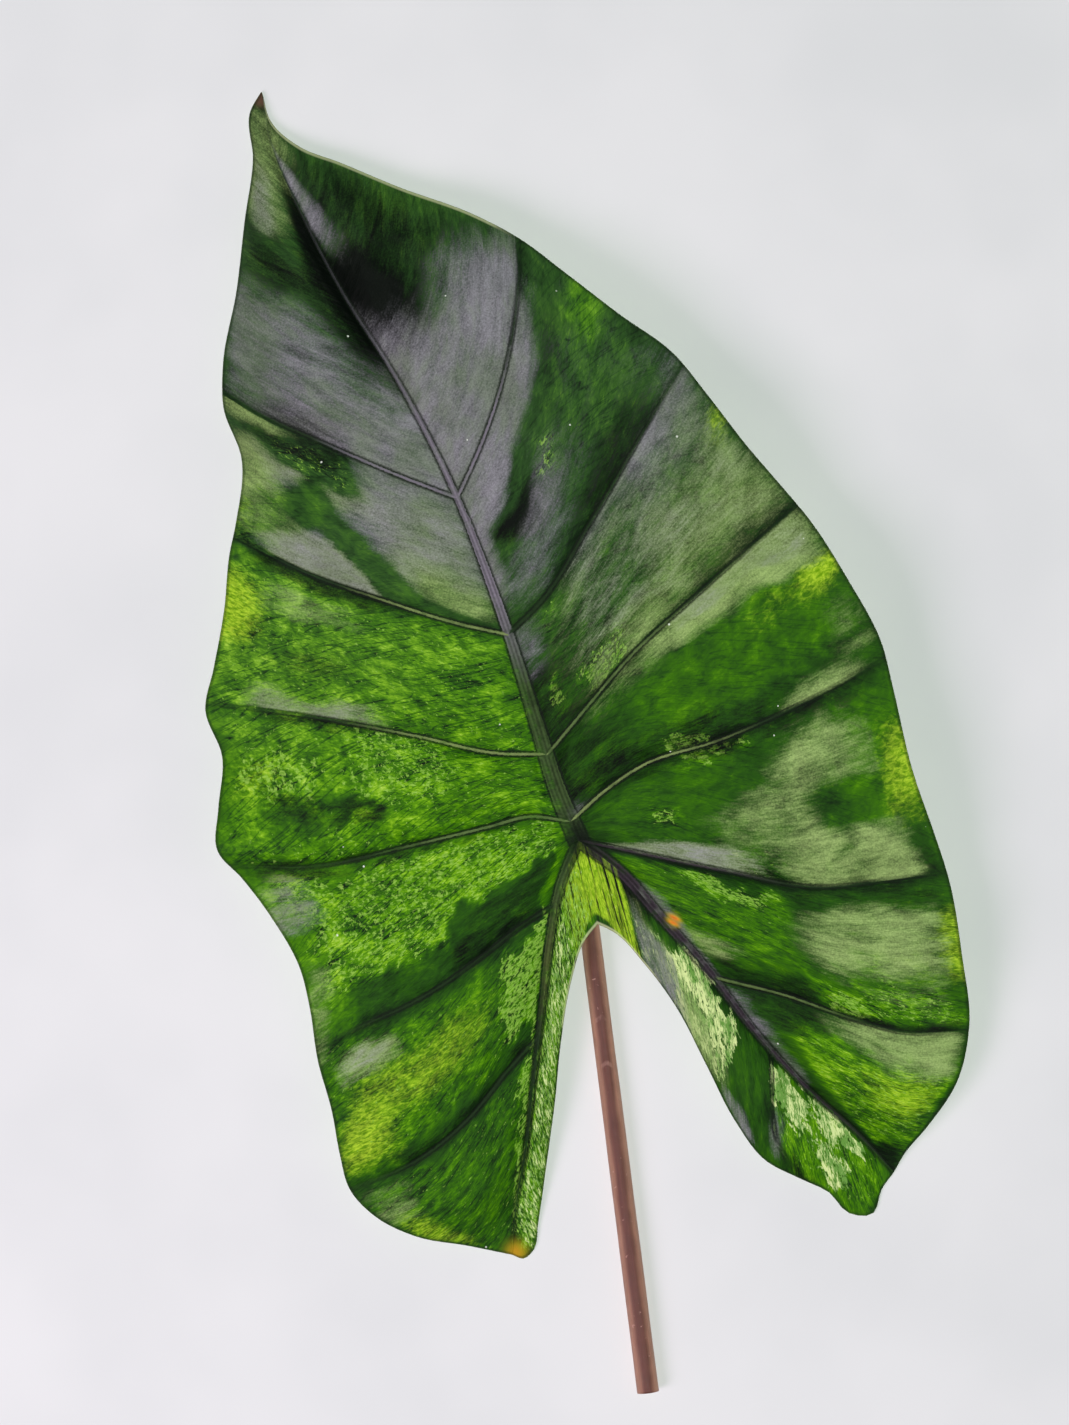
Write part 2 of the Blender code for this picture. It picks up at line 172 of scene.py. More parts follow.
def gap_to_curve(plan: np.ndarray, curve: np.ndarray) -> tuple[np.ndarray, np.ndarray]:
    """Distance from each plan point to a curve, and where along it the nearest place is.

    Args:
        plan: points, one row each.
        curve: sampled curve in plan.

    Returns:
        The distance to the nearer of the two segments beside the nearest sample, and the
        share of the curve's length at that sample.
    """
    gaps = np.linalg.norm(plan[:, None, :] - curve[None, :, :], axis=2)
    nearest = np.argmin(gaps, axis=1)
    best = gaps[np.arange(len(plan)), nearest]
    for start in (np.maximum(nearest - 1, 0), np.minimum(nearest, len(curve) - 2)):
        first, step = curve[start], curve[start + 1] - curve[start]
        share = np.sum((plan - first) * step, axis=1) / np.maximum(np.sum(step * step, axis=1), 1e-12)
        foot = first + np.clip(share, 0, 1)[:, None] * step
        best = np.minimum(best, np.linalg.norm(plan - foot, axis=1))
    return best, nearest / (len(curve) - 1)


def ripples(plan: np.ndarray, seed: int, lengths: Pair, count: int = 16) -> np.ndarray:
    """Gentle seeded unevenness: a sum of plane waves of random direction and phase.

    Args:
        plan: points, one row each.
        seed: start of the random draw.
        lengths: shortest and longest wave.
        count: how many waves are added.

    Returns:
        One height a point, with a spread of about 1.
    """
    draw = np.random.default_rng(seed)
    turn, phase = draw.uniform(0, 2 * np.pi, (2, count))
    size = 2 * np.pi / draw.uniform(*lengths, count)
    waves = np.stack([np.cos(turn), np.sin(turn)]) * size
    return np.cos(plan @ waves + phase).sum(axis=1) / math.sqrt(count / 2)


def paint(red: int, green: int, blue: int) -> Colour:
    """Linear colour of a display colour.

    Args:
        red, green, blue: the display colour's parts, 0 to 255.

    Returns:
        Its parts in linear light, 0 to 1.
    """
    parts = np.array([red, green, blue]) / 255
    linear = np.where(parts <= 0.04045, parts / 12.92, ((parts + 0.055) / 1.055) ** 2.4)
    return tuple(float(part) for part in linear)


def ends_of(limit: Limit) -> Pair:
    """Both ends of a limit, equal where it is one number."""
    return limit if isinstance(limit, tuple) else (limit, limit)


def stops_of(*stops: tuple[float, tuple[int, int, int]]) -> Stops:
    """Stops of a colour ramp, each a place and a display colour."""
    return tuple((place, paint(*colour)) for place, colour in stops)


def lattice(number: np.ndarray) -> np.ndarray:
    """Two triangles in each cell of a grid.

    Args:
        number: point number at each place of the grid.

    Returns:
        The triangles, one row each: first corners abc of every cell, then corners acd.
    """
    a, b = number[:-1, :-1].ravel(), number[:-1, 1:].ravel()
    c, d = number[1:, 1:].ravel(), number[1:, :-1].ravel()
    return np.vstack([np.stack([a, b, c], 1), np.stack([a, c, d], 1)])


def has_area(faces: np.ndarray) -> np.ndarray:
    """Which triangles have three different corners."""
    return np.all(faces != np.roll(faces, 1, axis=1), axis=1)


# Markings and ribs of the blade


@dataclass(frozen=True)
class Wash:
    """Soft-edged area of the sheet, told by the blade's own lines.

    The phase is whole at a side vein and counts from the tip, and on the two inner sides it
    runs from 0 at the hub to 1 at the lobe's end. A phase limit of two numbers changes from
    the area's spine end to its edge end. The softness, in hundredths of a phase and of the
    way across, is that of the low limit, the high limit, the spine end and the edge end.
    """

    tint: Tint
    low: Limit
    high: Limit
    across: Pair
    strength: float
    soft: Four

    def cover(self, phase: np.ndarray, across: np.ndarray) -> np.ndarray:
        """How much of the marking lies at each grid point.

        Each limit gives a margin, in its own softness. A soft step of the margins' smooth
        minimum, -log(sum exp(-3 margin)) / 3, makes an area with round corners.

        Args:
            phase: phase of each grid point.
            across: its share of the way from spine to edge.

        Returns:
            Strength of the marking at each grid point.
        """
        share = np.clip((across - self.across[0]) / (self.across[1] - self.across[0]), 0, 1)
        low, high = (start + (end - start) * share
                     for start, end in (ends_of(self.low), ends_of(self.high)))
        melt = MELT if self.tint in CALM_TINTS else 1.0
        soft = [size / 100 * (melt if size > CRISP else 1.0) for size in self.soft]
        steps = (
            (phase - low) / soft[0],
            (high - phase) / soft[1],
            (across - self.across[0]) / soft[2],
            (self.across[1] - across) / soft[3],
        )
        margin = -np.log(sum(np.exp(-3 * np.clip(step, -20, 20)) for step in steps)) / 3
        return self.strength * smoothstep(margin + 0.5)


@dataclass(frozen=True)
class Rib:
    """Midrib, costa or vein: its course, its sizes from root to end, and its ridge colours.

    The ridge colours are stops along the rib. Past the fade's start the rib grows faint.
    """

    course: Points
    half_width: Pair
    rise: Pair
    keel_width: Pair
    keel: Pair
    ridge: Stops
    taper: float = 1.0
    fade_start: float = 0.6
    faintest: float = 0.35
    samples: int = 200

    def half_width_at(self, along: np.ndarray) -> np.ndarray:
        """Half width: end + (root - end) * (1 - along)^taper."""
        return self.half_width[1] + (self.half_width[0] - self.half_width[1]) * (1 - along) ** self.taper

    def ridge_at(self, along: np.ndarray) -> np.ndarray:
        """Ridge colour between the stops."""
        places, colours = [stop[0] for stop in self.ridge], np.array([stop[1] for stop in self.ridge])
        return np.stack([np.interp(along, places, colours[:, part]) for part in range(3)], axis=1)

    def clear_at(self, along: np.ndarray) -> np.ndarray:
        """How clearly the rib shows: 1 up to the fade's start, then down to its faintest."""
        fading = smoothstep((along - self.fade_start) / (1 - self.fade_start))
        return 1 - (1 - self.faintest) * fading


# Every marking and every patch of painted shade, sheen and backlight, by side and kind. A row is a
# wash without its kind: both limits of its phase, the span across, the strength and the softness.

MARKS_AND_PAINTED_LIGHT: dict[tuple[Side, Tint], tuple[Row, ...]] = {
    (Side.RIGHT, Tint.VIVID): (
        ((0.28, 0.3), (0.7, 0.76), (0.6, 1.1), 0.25, (15, 10, 20, 10)),
        ((1.25, 1.2), (1.75, 1.7), (0.5, 1.1), 0.2, (20, 20, 20, 10)),
        ((1.32, 1.34), (1.52, 1.56), (0.84, 1.1), 0.9, (8, 8, 8, 10)),
        ((3.12, 3.28), (3.85, 3.75), (0.25, 0.97), 0.6, (10, 12, 30, 6)),
        (4.08, 4.8, (0.08, 0.5), 0.3, (8, 10, 8, 15)),
        (4.1, 4.7, (0.78, 1.1), 0.6, (10, 10, 8, 10)),
        (5.08, 5.8, (0.03, 0.52), 0.5, (6, 10, 3, 6)),
        ((5.74, 5.76), 6.0, (0.45, 0.66), 0.9, (5, 2, 4, 5)),
        ((5.5, 5.55), 5.97, (0.6, 1.0), 0.6, (8, 2, 5, 5)),
        ((6.15, 6.2), (6.85, 6.82), (0.18, 0.98), 0.95, (10, 8, 8, 4)),
    ),
    (Side.RIGHT, Tint.GLOW): (
        ((2.3, 2.32), (2.46, 2.48), (0.91, 1.1), 0.85, (5, 5, 5, 10)),
        ((3.26, 3.25), 3.42, (0.89, 1.02), 1.0, (2, 3, 2, 2)),
        (3.3, 3.5, (0.7, 0.97), 0.3, (3, 4, 6, 3)),
        ((4.24, 4.28), (4.76, 4.8), (0.92, 1.1), 0.4, (5, 4, 3, 10)),
        (4.36, 4.66, (0.93, 1.1), 0.65, (2, 2, 3, 10)),
        (5.32, (5.72, 5.74), (0.72, 0.95), 0.3, (8, 8, 10, 5)),
        (5.18, (5.72, 5.76), (0.93, 1.1), 0.75, (5, 5, 2, 10)),
        ((6.25, 6.22), 6.62, (0.45, 0.94), 0.6, (8, 10, 12, 5)),
    ),
    (Side.RIGHT, Tint.LIME): (
        ((0.62, 0.66), (0.76, 0.8), (0.05, 0.2), 0.35, (5, 5, 5, 5)),
        ((1.38, 1.4), (1.52, 1.54), (0.36, 0.5), 0.75, (5, 5, 5, 5)),
        (1.3, 1.8, (0.55, 0.95), 0.22, (10, 10, 10, 10)),
        ((2.55, 2.58), (2.78, 2.76), (0.07, 0.15), 1.0, (6, 6, 3, 3)),
        ((2.72, 2.74), (2.98, 2.97), (0.2, 0.38), 0.8, (8, 2, 6, 8)),
        ((2.04, 2.06), 2.2, (0.12, 0.2), 0.6, (5, 5, 3, 3)),
        (2.1, 2.95, (0.1, 0.9), 0.18, (5, 5, 5, 5)),
        (3.88, 4.0, (0.34, 0.46), 0.95, (4, 1, 4, 4)),
        (4.02, (4.16, 4.14), (0.38, 0.54), 0.95, (2, 4, 4, 4)),
        ((4.44, 4.46), (4.62, 4.6), (0.23, 0.33), 0.9, (4, 4, 4, 4)),
        ((4.78, 4.8), 4.98, (0.42, 0.58), 0.4, (4, 2, 4, 4)),
        ((5.08, 5.1), (5.28, 5.22), (0.26, 0.5), 0.95, (3, 5, 6, 3)),
        (5.1, 5.7, (0.03, 0.48), 0.4, (6, 10, 3, 6)),
        (5.78, (5.99, 5.97), (0.46, 0.62), 0.95, (4, 2, 4, 4)),
        ((5.52, 5.54), (5.66, 5.64), (0.68, 0.76), 0.9, (4, 4, 3, 3)),
        ((5.7, 5.75), 5.95, (0.62, 0.95), 0.7, (5, 2, 5, 5)),
        ((6.18, 6.22), (6.82, 6.78), (0.2, 0.95), 0.6, (10, 8, 10, 6)),
    ),
    (Side.RIGHT, Tint.CREAM): (
        ((4.8, 4.76), 4.98, (0.26, 0.5), 0.45, (3, 1, 8, 6)),
    ),
    (Side.RIGHT, Tint.SHADE): (
        ((0.16, 0.2), (0.62, 0.86), (0.1, 0.95), 0.5, (10, 6, 12, 15)),
        ((0.36, 0.42), (0.68, 0.84), (-0.05, 0.4), 1.0, (6, 5, 2, 9)),
        ((0.2, 0.3), 0.5, (-0.05, 0.05), 0.85, (10, 10, 1, 3)),
        ((1.36, 1.46), (1.5, 1.78), (0.07, 0.34), 0.8, (2, 4, 2, 8)),
        ((1.85, 1.82), 2.0, (0.36, 0.86), 0.55, (5, 1.2, 6, 10)),
        (1.5, (1.85, 1.9), (0.42, 0.72), 0.35, (10, 10, 8, 15)),
        ((1.2, 1.12), (1.42, 1.36), (0.45, 0.85), 0.5, (6, 10, 10, 10)),
        ((2.28, 2.3), (2.64, 2.62), (0.48, 0.74), 0.35, (8, 10, 8, 10)),
        ((2.94, 2.84), 3.0, (0.55, 0.98), 0.55, (3, 0.8, 10, 3)),
        (2.3, 3.0, (-0.05, 0.28), 0.4, (10, 2, 2, 12)),
        ((3.72, 3.8), 4.0, (0.12, 0.7), 0.5, (12, 1, 10, 10)),
        (3.1, 4.0, (-0.05, 0.2), 0.5, (6, 2, 2, 12)),
        (4.0, (4.13, 4.1), (0.15, 0.95), 0.5, (0.8, 6, 10, 6)),
        ((4.74, 4.78), 5.0, (0.93, 1.0), 0.35, (8, 1, 3, 3)),
        (5.0, 5.12, (0.04, 1.0), 0.3, (0.8, 4, 3, 3)),
        ((5.76, 5.78), 6.0, (0.08, 0.5), 0.4, (4, 0.8, 5, 5)),
        ((5.93, 5.95), 6.0, (0.5, 1.0), 0.6, (2, 0.6, 10, 5)),
        (6.0, (6.22, 6.25), (0.09, 0.42), 0.45, (2, 8, 4, 10)),
        ((6.82, 6.8), 7.1, (-0.1, 1.0), 0.6, (6, 8, 10, 10)),
    ),
    (Side.RIGHT, Tint.SAGE): (
        ((0.04, 0.06), (0.2, 0.22), (0.0, 0.9), 0.55, (5, 5, 5, 10)),
        (2.0, 3.0, (0.15, 1.0), 0.28, (4, 4, 12, 6)),
        (2.35, 2.9, (0.55, 0.97), 0.32, (5, 3, 8, 2)),
        ((2.64, 2.66), (2.86, 2.84), (0.6, 0.98), 0.7, (6, 4, 12, 12)),
        (2.72, 2.97, (0.34, 0.56), 0.8, (8, 1.2, 8, 6)),
        (2.5, (2.86, 2.84), (0.84, 1.0), 0.35, (8, 5, 6, 2)),
        (3.0, (3.16, 3.32), (0.42, 0.98), 1.0, (0.8, 3.5, 10, 5)),
        ((3.02, 3.03), (3.26, 3.22), (0.15, 0.46), 0.35, (2, 8, 10, 10)),
        (3.5, 4.0, (0.88, 1.0), 0.28, (10, 2, 6, 3)),
        ((3.89, 3.87), 4.0, (0.7, 0.88), 0.9, (3.5, 0.8, 6, 5)),
        ((4.06, 4.05), (4.24, 4.22), (0.68, 0.86), 0.5, (4, 5, 8, 5)),
        ((4.52, 4.1), (4.74, 4.8), (0.4, 0.8), 0.55, (4, 6, 6, 4)),
        (4.12, 4.6, (0.66, 0.9), 0.6, (5, 8, 10, 3)),
        ((4.7, 4.6), 5.0, (0.58, 0.8), 0.85, (8, 0.8, 3, 5)),
        ((4.67, 4.69), 5.0, (0.8, 0.93), 1.0, (3.5, 0.8, 3, 3)),
        (4.44, (4.68, 4.66), (0.7, 0.94), -0.95, (3, 2, 2, 3)),
        ((4.84, 4.74), 5.0, (0.1, 0.5), 0.85, (2.5, 0.8, 3, 8)),
        ((5.6, 5.62), (5.82, 5.78), (0.04, 0.2), 0.75, (4, 3.5, 3, 5)),
        ((5.2, 5.13), (5.7, 5.93), (0.5, 0.93), 0.85, (5, 8, 7, 4)),
        ((5.6, 5.65), 5.95, (0.6, 1.0), -0.7, (6, 2, 5, 5)),
        (6.0, (6.2, 6.27), (0.46, 0.97), 0.9, (0.8, 6, 10, 3)),
    ),
    (Side.RIGHT, Tint.BLOOM): (
        ((0.14, 0.2), (0.36, 0.42), (0.04, 0.32), 1.0, (4, 7, 3, 9)),
        ((0.6, 0.86), 1.0, (-0.05, 1.0), 1.0, (9, 1.2, 1, 5)),
        (1.0, (1.42, 1.1), (-0.05, 0.8), 1.0, (1.2, 3.5, 1, 12)),
        (1.1, (1.95, 1.75), (-0.05, 0.06), 1.0, (10, 10, 1, 2)),
        ((1.53, 1.46), (1.86, 1.82), (0.15, 0.48), 0.5, (3.5, 6, 5, 10)),
        (1.6, 1.97, (0.05, 0.25), 0.55, (10, 3, 5, 10)),
        (1.8, 2.0, (0.88, 1.0), 0.4, (8, 1.5, 6, 3)),
        (1.1, 2.0, (0.3, 1.0), 0.12, (5, 5, 5, 5)),
        (2.0, 2.9, (0.2, 1.0), 0.25, (3, 10, 10, 4)),
        (2.01, (2.1, 2.15), (0.4, 1.0), 0.8, (1.2, 6, 12, 3)),
        (2.05, (2.35, 2.4), (0.62, 0.95), 0.4, (6, 12, 15, 8)),
        (2.0, 2.4, (-0.05, 0.1), 0.5, (3, 10, 1, 5)),
        (3.0, (3.1, 3.22), (0.5, 0.96), 0.35, (0.8, 2, 5, 3)),
        (3.84, 4.0, (-0.05, 0.07), 0.8, (5, 1, 1, 3)),
        ((4.84, 4.74), 5.0, (0.08, 0.5), 0.55, (2.5, 0.8, 3, 8)),
        ((5.25, 5.3), 5.98, (-0.05, 0.05), 1.0, (5, 1, 1, 2)),
        (6.0, (6.55, 6.5), (-0.05, 0.09), 0.75, (3, 6, 1, 4)),
    ),
    (Side.RIGHT, Tint.LIT_RIM): (
        (0.04, 0.95, (0.5, 1.1), 0.9, (3, 10, 10, 10)),
    ),
    (Side.LEFT, Tint.VIVID): (
        ((1.4, 1.42), 2.0, (0.84, 1.1), 0.3, (6, 2, 6, 10)),
        ((2.08, 1.26), (2.4, 1.56), (0.16, 0.72), 0.28, (8, 5, 4, 10)),
        ((1.32, 1.7), (1.6, 1.98), (0.62, 1.02), 0.3, (8, 5, 4, 2)),
        (2.02, 5.0, (-0.1, 1.1), 0.85, (3, 5, 2, 10)),
        (4.98, 6.0, (-0.1, 1.1), 0.45, (1, 2, 2, 10)),
        (6.0, 7.0, (-0.1, 1.1), 0.25, (1, 8, 2, 10)),
    ),
    (Side.LEFT, Tint.GLOW): (
        (1.55, 2.0, (0.92, 1.1), 0.35, (10, 5, 4, 10)),
        (2.2, 2.6, (0.87, 1.1), 0.95, (6, 6, 5, 10)),
        (3.35, 3.6, (0.8, 0.97), 0.5, (6, 6, 6, 4)),
        ((5.25, 5.32), 5.62, (0.28, 0.95), 0.5, (8, 8, 10, 5)),
        (5.56, (5.94, 5.92), (0.76, 0.98), 0.7, (6, 5, 6, 3)),
        (6.28, 6.8, (0.8, 1.0), 0.55, (8, 8, 6, 3)),
    ),
    (Side.LEFT, Tint.LIME): (
        ((1.06, 1.08), (1.32, 1.3), (0.48, 0.8), 0.6, (3, 3, 5, 6)),
        ((1.4, 1.42), 2.0, (0.8, 1.1), 0.35, (6, 2, 6, 10)),
        ((2.06, 2.08), 3.0, (0.0, 1.0), 0.5, (5, 2, 4, 6)),
        (3.0, 3.98, (0.0, 0.97), 0.5, (1, 1, 4, 5)),
        (3.0, 3.58, (0.3, 0.6), 0.5, (1, 6, 10, 8)),
        (3.3, 3.55, (0.72, 0.95), 0.65, (5, 3, 6, 4)),
        ((4.06, 4.08), 4.8, (0.05, 0.94), 0.75, (4, 5, 5, 4)),
        ((5.02, 5.04), 5.9, (0.02, 1.0), 0.45, (3, 4, 3, 6)),
        (4.95, 5.95, (0.03, 0.22), 1.0, (3, 3, 3, 6)),
        (6.05, 6.9, (0.06, 1.0), 0.45, (4, 6, 5, 6)),
        (5.9, 6.95, (0.02, 0.1), 0.9, (3, 3, 2, 3)),
    ),
    (Side.LEFT, Tint.SHADE): (
        ((0.22, 0.24), (0.56, 0.5), (-0.05, 0.34), 0.95, (6, 6, 1, 8)),
        (0.45, (0.74, 0.68), (-0.05, 0.42), 0.85, (8, 8, 1, 12)),
        ((0.44, 0.46), (0.62, 0.58), (0.3, 1.0), 0.6, (5, 5, 10, 4)),
        (0.9, 1.0, (0.42, 0.82), 0.85, (3.5, 1, 6, 8)),
        ((1.0, 1.06), (1.25, 1.22), (0.46, 0.92), 0.5, (1, 4, 5, 6)),
        (2.0, (2.1, 2.12), (0.3, 0.92), 0.6, (0.8, 3.5, 10, 5)),
        ((2.48, 2.5), 2.76, (0.56, 0.86), 0.3, (6, 6, 8, 6)),
        (3.0, 3.07, (0.4, 0.86), 0.6, (0.8, 3, 8, 8)),
        ((3.54, 3.56), 3.74, (0.52, 0.86), 0.45, (3, 3, 2, 3)),
        ((3.97, 3.93), (4.08, 4.12), (0.1, 0.95), 0.4, (2, 3.5, 10, 5)),
        ((4.56, 4.64), 5.0, (0.06, 0.44), 0.4, (3.5, 1, 2, 3)),
        (5.9, 6.0, (0.05, 0.8), 0.4, (3, 1, 3, 6)),
    ),
    (Side.LEFT, Tint.SAGE): (
        (0.04, 0.24, (-0.05, 1.0), 0.5, (5, 6, 2, 3)),
        ((0.2, 0.22), (0.46, 0.45), (0.4, 1.0), 0.7, (5, 8, 16, 2)),
        ((1.02, 1.03), (1.1, 1.12), (0.72, 1.0), 0.9, (1, 2.5, 8, 2)),
        ((1.24, 1.2), (1.46, 1.44), (0.36, 1.0), 0.7, (3, 4, 8, 2)),
        (1.1, (1.96, 1.85), (0.02, 0.4), 0.65, (10, 3, 5, 8)),
        ((1.36, 1.38), 1.9, (0.84, 1.1), 0.85, (6, 4, 5, 10)),
        ((1.74, 1.68), 1.985, (0.4, 0.86), 0.9, (3, 0.8, 5, 5)),
        ((2.08, 1.26), (2.4, 1.56), (0.16, 0.72), -0.95, (4, 2, 5, 3)),
        ((1.32, 1.7), (1.6, 1.98), (0.62, 1.02), -0.6, (4, 2, 3, 2)),
        ((1.03, 1.1), (1.34, 1.36), (0.44, 0.84), -0.95, (1, 2, 2, 3)),
        ((0.4, 0.42), (0.62, 0.6), (-0.05, 1.1), -0.85, (3, 5, 1, 2)),
        ((2.14, 2.18), (2.32, 2.36), (0.54, 0.86), 0.65, (4, 4, 8, 5)),
        ((2.85, 2.84), 2.985, (0.48, 0.87), 0.7, (3, 0.8, 5, 3.5)),
        ((4.04, 4.08), (4.36, 4.4), (0.86, 1.0), 0.5, (3, 3, 3, 2)),
        ((5.14, 5.15), 5.34, (0.7, 0.94), 0.9, (3.5, 3.5, 3.5, 4)),
        ((4.55, 4.6), 5.12, (0.93, 1.0), 0.6, (3, 3, 3, 2)),
        ((6.04, 6.06), 6.34, (0.8, 1.0), 0.42, (4, 5, 5, 3)),
    ),
    (Side.LEFT, Tint.BLOOM): (
        (0.24, (0.46, 0.45), (0.55, 0.95), 0.75, (6, 8, 16, 4)),
        ((0.62, 0.58), (0.99, 0.92), (0.4, 1.0), 0.6, (8, 5, 12, 2)),
        ((0.74, 0.78), 1.0, (-0.05, 0.5), 0.9, (6, 1.2, 1, 10)),
        ((0.55, 0.56), 1.0, (-0.05, 1.0), 0.35, (8, 1.2, 1, 3)),
        (0.3, (0.72, 0.62), (-0.05, 0.6), -0.75, (4, 5, 1, 8)),
        (1.0, (1.8, 1.6), (-0.05, 0.45), 0.75, (1.2, 10, 1, 10)),
        ((1.15, 1.2), 1.98, (0.3, 0.9), 0.55, (5, 1, 5, 5)),
        ((1.76, 1.7), 1.985, (0.46, 0.8), 0.6, (3.5, 0.8, 6, 5)),
        ((2.08, 1.26), (2.4, 1.56), (0.16, 0.72), -0.95, (4, 2, 5, 3)),
        ((1.32, 1.7), (1.6, 1.98), (0.62, 1.02), -0.9, (4, 2, 3, 2)),
        ((1.03, 1.1), (1.34, 1.36), (0.44, 0.84), -0.95, (1, 2, 2, 3)),
        ((0.4, 0.42), (0.62, 0.6), (-0.05, 1.1), -0.85, (3, 5, 1, 2)),
        ((2.87, 2.86), 2.985, (0.5, 0.86), 0.5, (3, 0.8, 3, 2)),
        ((4.08, 4.12), (4.42, 4.44), (0.84, 0.98), 0.6, (3, 3, 3.5, 2)),
        ((5.14, 5.15), 5.34, (0.72, 0.94), 0.4, (3.5, 3.5, 3.5, 4)),
    ),
    (Side.LEFT, Tint.PLAIN): (
        ((3.57, 3.58), (3.7, 3.69), (0.52, 0.67), 1.0, (2, 2, 1.2, 1.2)),
        (3.6, 3.76, (0.66, 0.86), 0.5, (3, 3, 1.5, 3)),
        ((4.5, 4.6), 5.05, (0.06, 0.46), 1.0, (2, 1, 1, 1.2)),
        ((4.74, 4.76), 5.05, (0.44, 0.84), 0.9, (3, 1, 1, 2)),
        (4.95, (5.12, 5.1), (0.1, 0.8), 0.8, (2, 3, 2, 3)),
        (5.84, 6.04, (0.05, 0.78), 0.85, (3, 1, 2, 3)),
    ),
    (Side.INNER_RIGHT, Tint.VIVID): (
        (0.62, 1.0, (-0.1, 1.0), 0.8, (2, 5, 2, 8)),
    ),
    (Side.INNER_RIGHT, Tint.GLOW): (
        (-0.1, (0.1, 0.11), (-0.1, 0.97), 1.0, (1, 1.2, 2, 3)),
    ),
    (Side.INNER_RIGHT, Tint.LIME): (
        ((0.62, 0.64), 0.95, (0.1, 0.9), 0.55, (3, 5, 5, 8)),
    ),
    (Side.INNER_RIGHT, Tint.CREAM): (
        (-0.1, (0.08, 0.09), (0.1, 1.0), 0.4, (1, 2, 10, 3)),
        ((0.11, 0.1), (0.3, 0.28), (0.3, 0.9), 0.7, (3, 3, 5, 5)),
        ((0.32, 0.2), (0.5, 0.47), (0.06, 0.5), 1.0, (3, 2.5, 5, 5)),
        (0.2, (0.47, 0.4), (0.45, 0.98), 0.85, (3, 3, 6, 3)),
        ((0.6, 0.61), (0.75, 0.7), (0.06, 0.52), 1.0, (1, 3, 3, 5)),
        ((0.74, 0.75), (0.9, 0.88), (0.03, 0.38), 1.0, (3, 3, 3, 5)),
        ((0.71, 0.72), (0.86, 0.83), (0.5, 0.86), 0.95, (2, 3, 5, 5)),
        ((0.68, 0.67), (0.82, 0.8), (0.34, 0.56), 0.65, (3, 3, 5, 5)),
    ),
    (Side.INNER_RIGHT, Tint.SHADE): (
        ((0.085, 0.09), (0.19, 0.15), (-0.1, 0.42), 0.8, (1.2, 2, 1, 8)),
        (0.64, (0.74, 0.72), (0.82, 1.0), 0.7, (3, 3, 6, 3)),
    ),
    (Side.INNER_RIGHT, Tint.SAGE): (
        (0.12, (0.28, 0.27), (0.2, 1.0), 0.4, (2, 3, 8, 2)),
        (0.24, (0.42, 0.4), (0.5, 0.98), 0.6, (3.5, 3.5, 8, 2)),
    ),
    (Side.INNER_RIGHT, Tint.BLOOM): (
        ((0.12, 0.11), 0.26, (0.3, 1.0), 0.85, (1.5, 2, 6, 2)),
        (0.41, (0.52, 0.56), (0.84, 1.0), 0.9, (2, 3, 4, 2)),
        ((0.6, 0.605), (0.63, 0.64), (0.5, 0.95), 0.9, (0.8, 1.5, 8, 4)),
    ),
    (Side.INNER_RIGHT, Tint.LIT_RIM): (
        (-0.1, 0.14, (0.5, 1.1), 1.0, (3, 3, 3, 3)),
    ),
    (Side.INNER_RIGHT, Tint.STRIPED): (
        (-0.1, 0.12, (-0.1, 1.1), 1.0, (3, 3, 3, 3)),
    ),
    (Side.INNER_LEFT, Tint.VIVID): (
        (-0.1, 0.9, (-0.1, 1.1), 0.55, (1, 10, 2, 5)),
    ),
    (Side.INNER_LEFT, Tint.GLOW): (
        (-0.1, (0.12, 0.1), (-0.1, 0.97), 0.8, (1, 3, 2, 3)),
    ),
    (Side.INNER_LEFT, Tint.LIME): (
        (0.02, 0.95, (0.0, 1.1), 0.88, (5, 5, 5, 5)),
    ),
    (Side.INNER_LEFT, Tint.CREAM): (
        (-0.1, (0.08, 0.09), (0.1, 1.0), 0.45, (1, 2, 10, 3)),
        ((0.12, 0.1), 0.93, (0.25, 1.0), 0.72, (8, 5, 10, 5)),
    ),
    (Side.INNER_LEFT, Tint.LIT_RIM): (
        (-0.1, 0.3, (0.5, 1.1), 1.0, (3, 3, 3, 3)),
    ),
    (Side.INNER_LEFT, Tint.STRIPED): (
        (-0.1, 0.25, (-0.1, 1.1), 0.9, (3, 10, 3, 3)),
    ),
}


# The sheet of the blade, between its spines and its edges


@dataclass
class Anchor:
    """Leading line of a patch: where it leaves the spine, where it meets the edge, its phase."""

    root: float
    end: float
    phase: float
    vein: Points | None = None

    def bow(self, across: np.ndarray) -> np.ndarray:
        """How far the vein lies off the straight line from its root to its end.

        Args:
            across: shares of the way along it.

        Returns:
            One offset in plan for each share.
        """
        if self.vein is None:
            return np.zeros((len(across), 2))
        curve = smooth_curve(self.vein)
        shape = point_at(curve, across * lengths_along(curve)[-1])
        straight = shape[0] + (shape[-1] - shape[0]) * across[:, None]
        return shape - straight


@dataclass
class SheetGrid:
    """One patch worked out: rows run along the spine and columns from spine to edge."""

    side: Side
    plan: np.ndarray
    height: np.ndarray
    phase: np.ndarray
    across: np.ndarray
    rim_gap: np.ndarray
    flow: np.ndarray


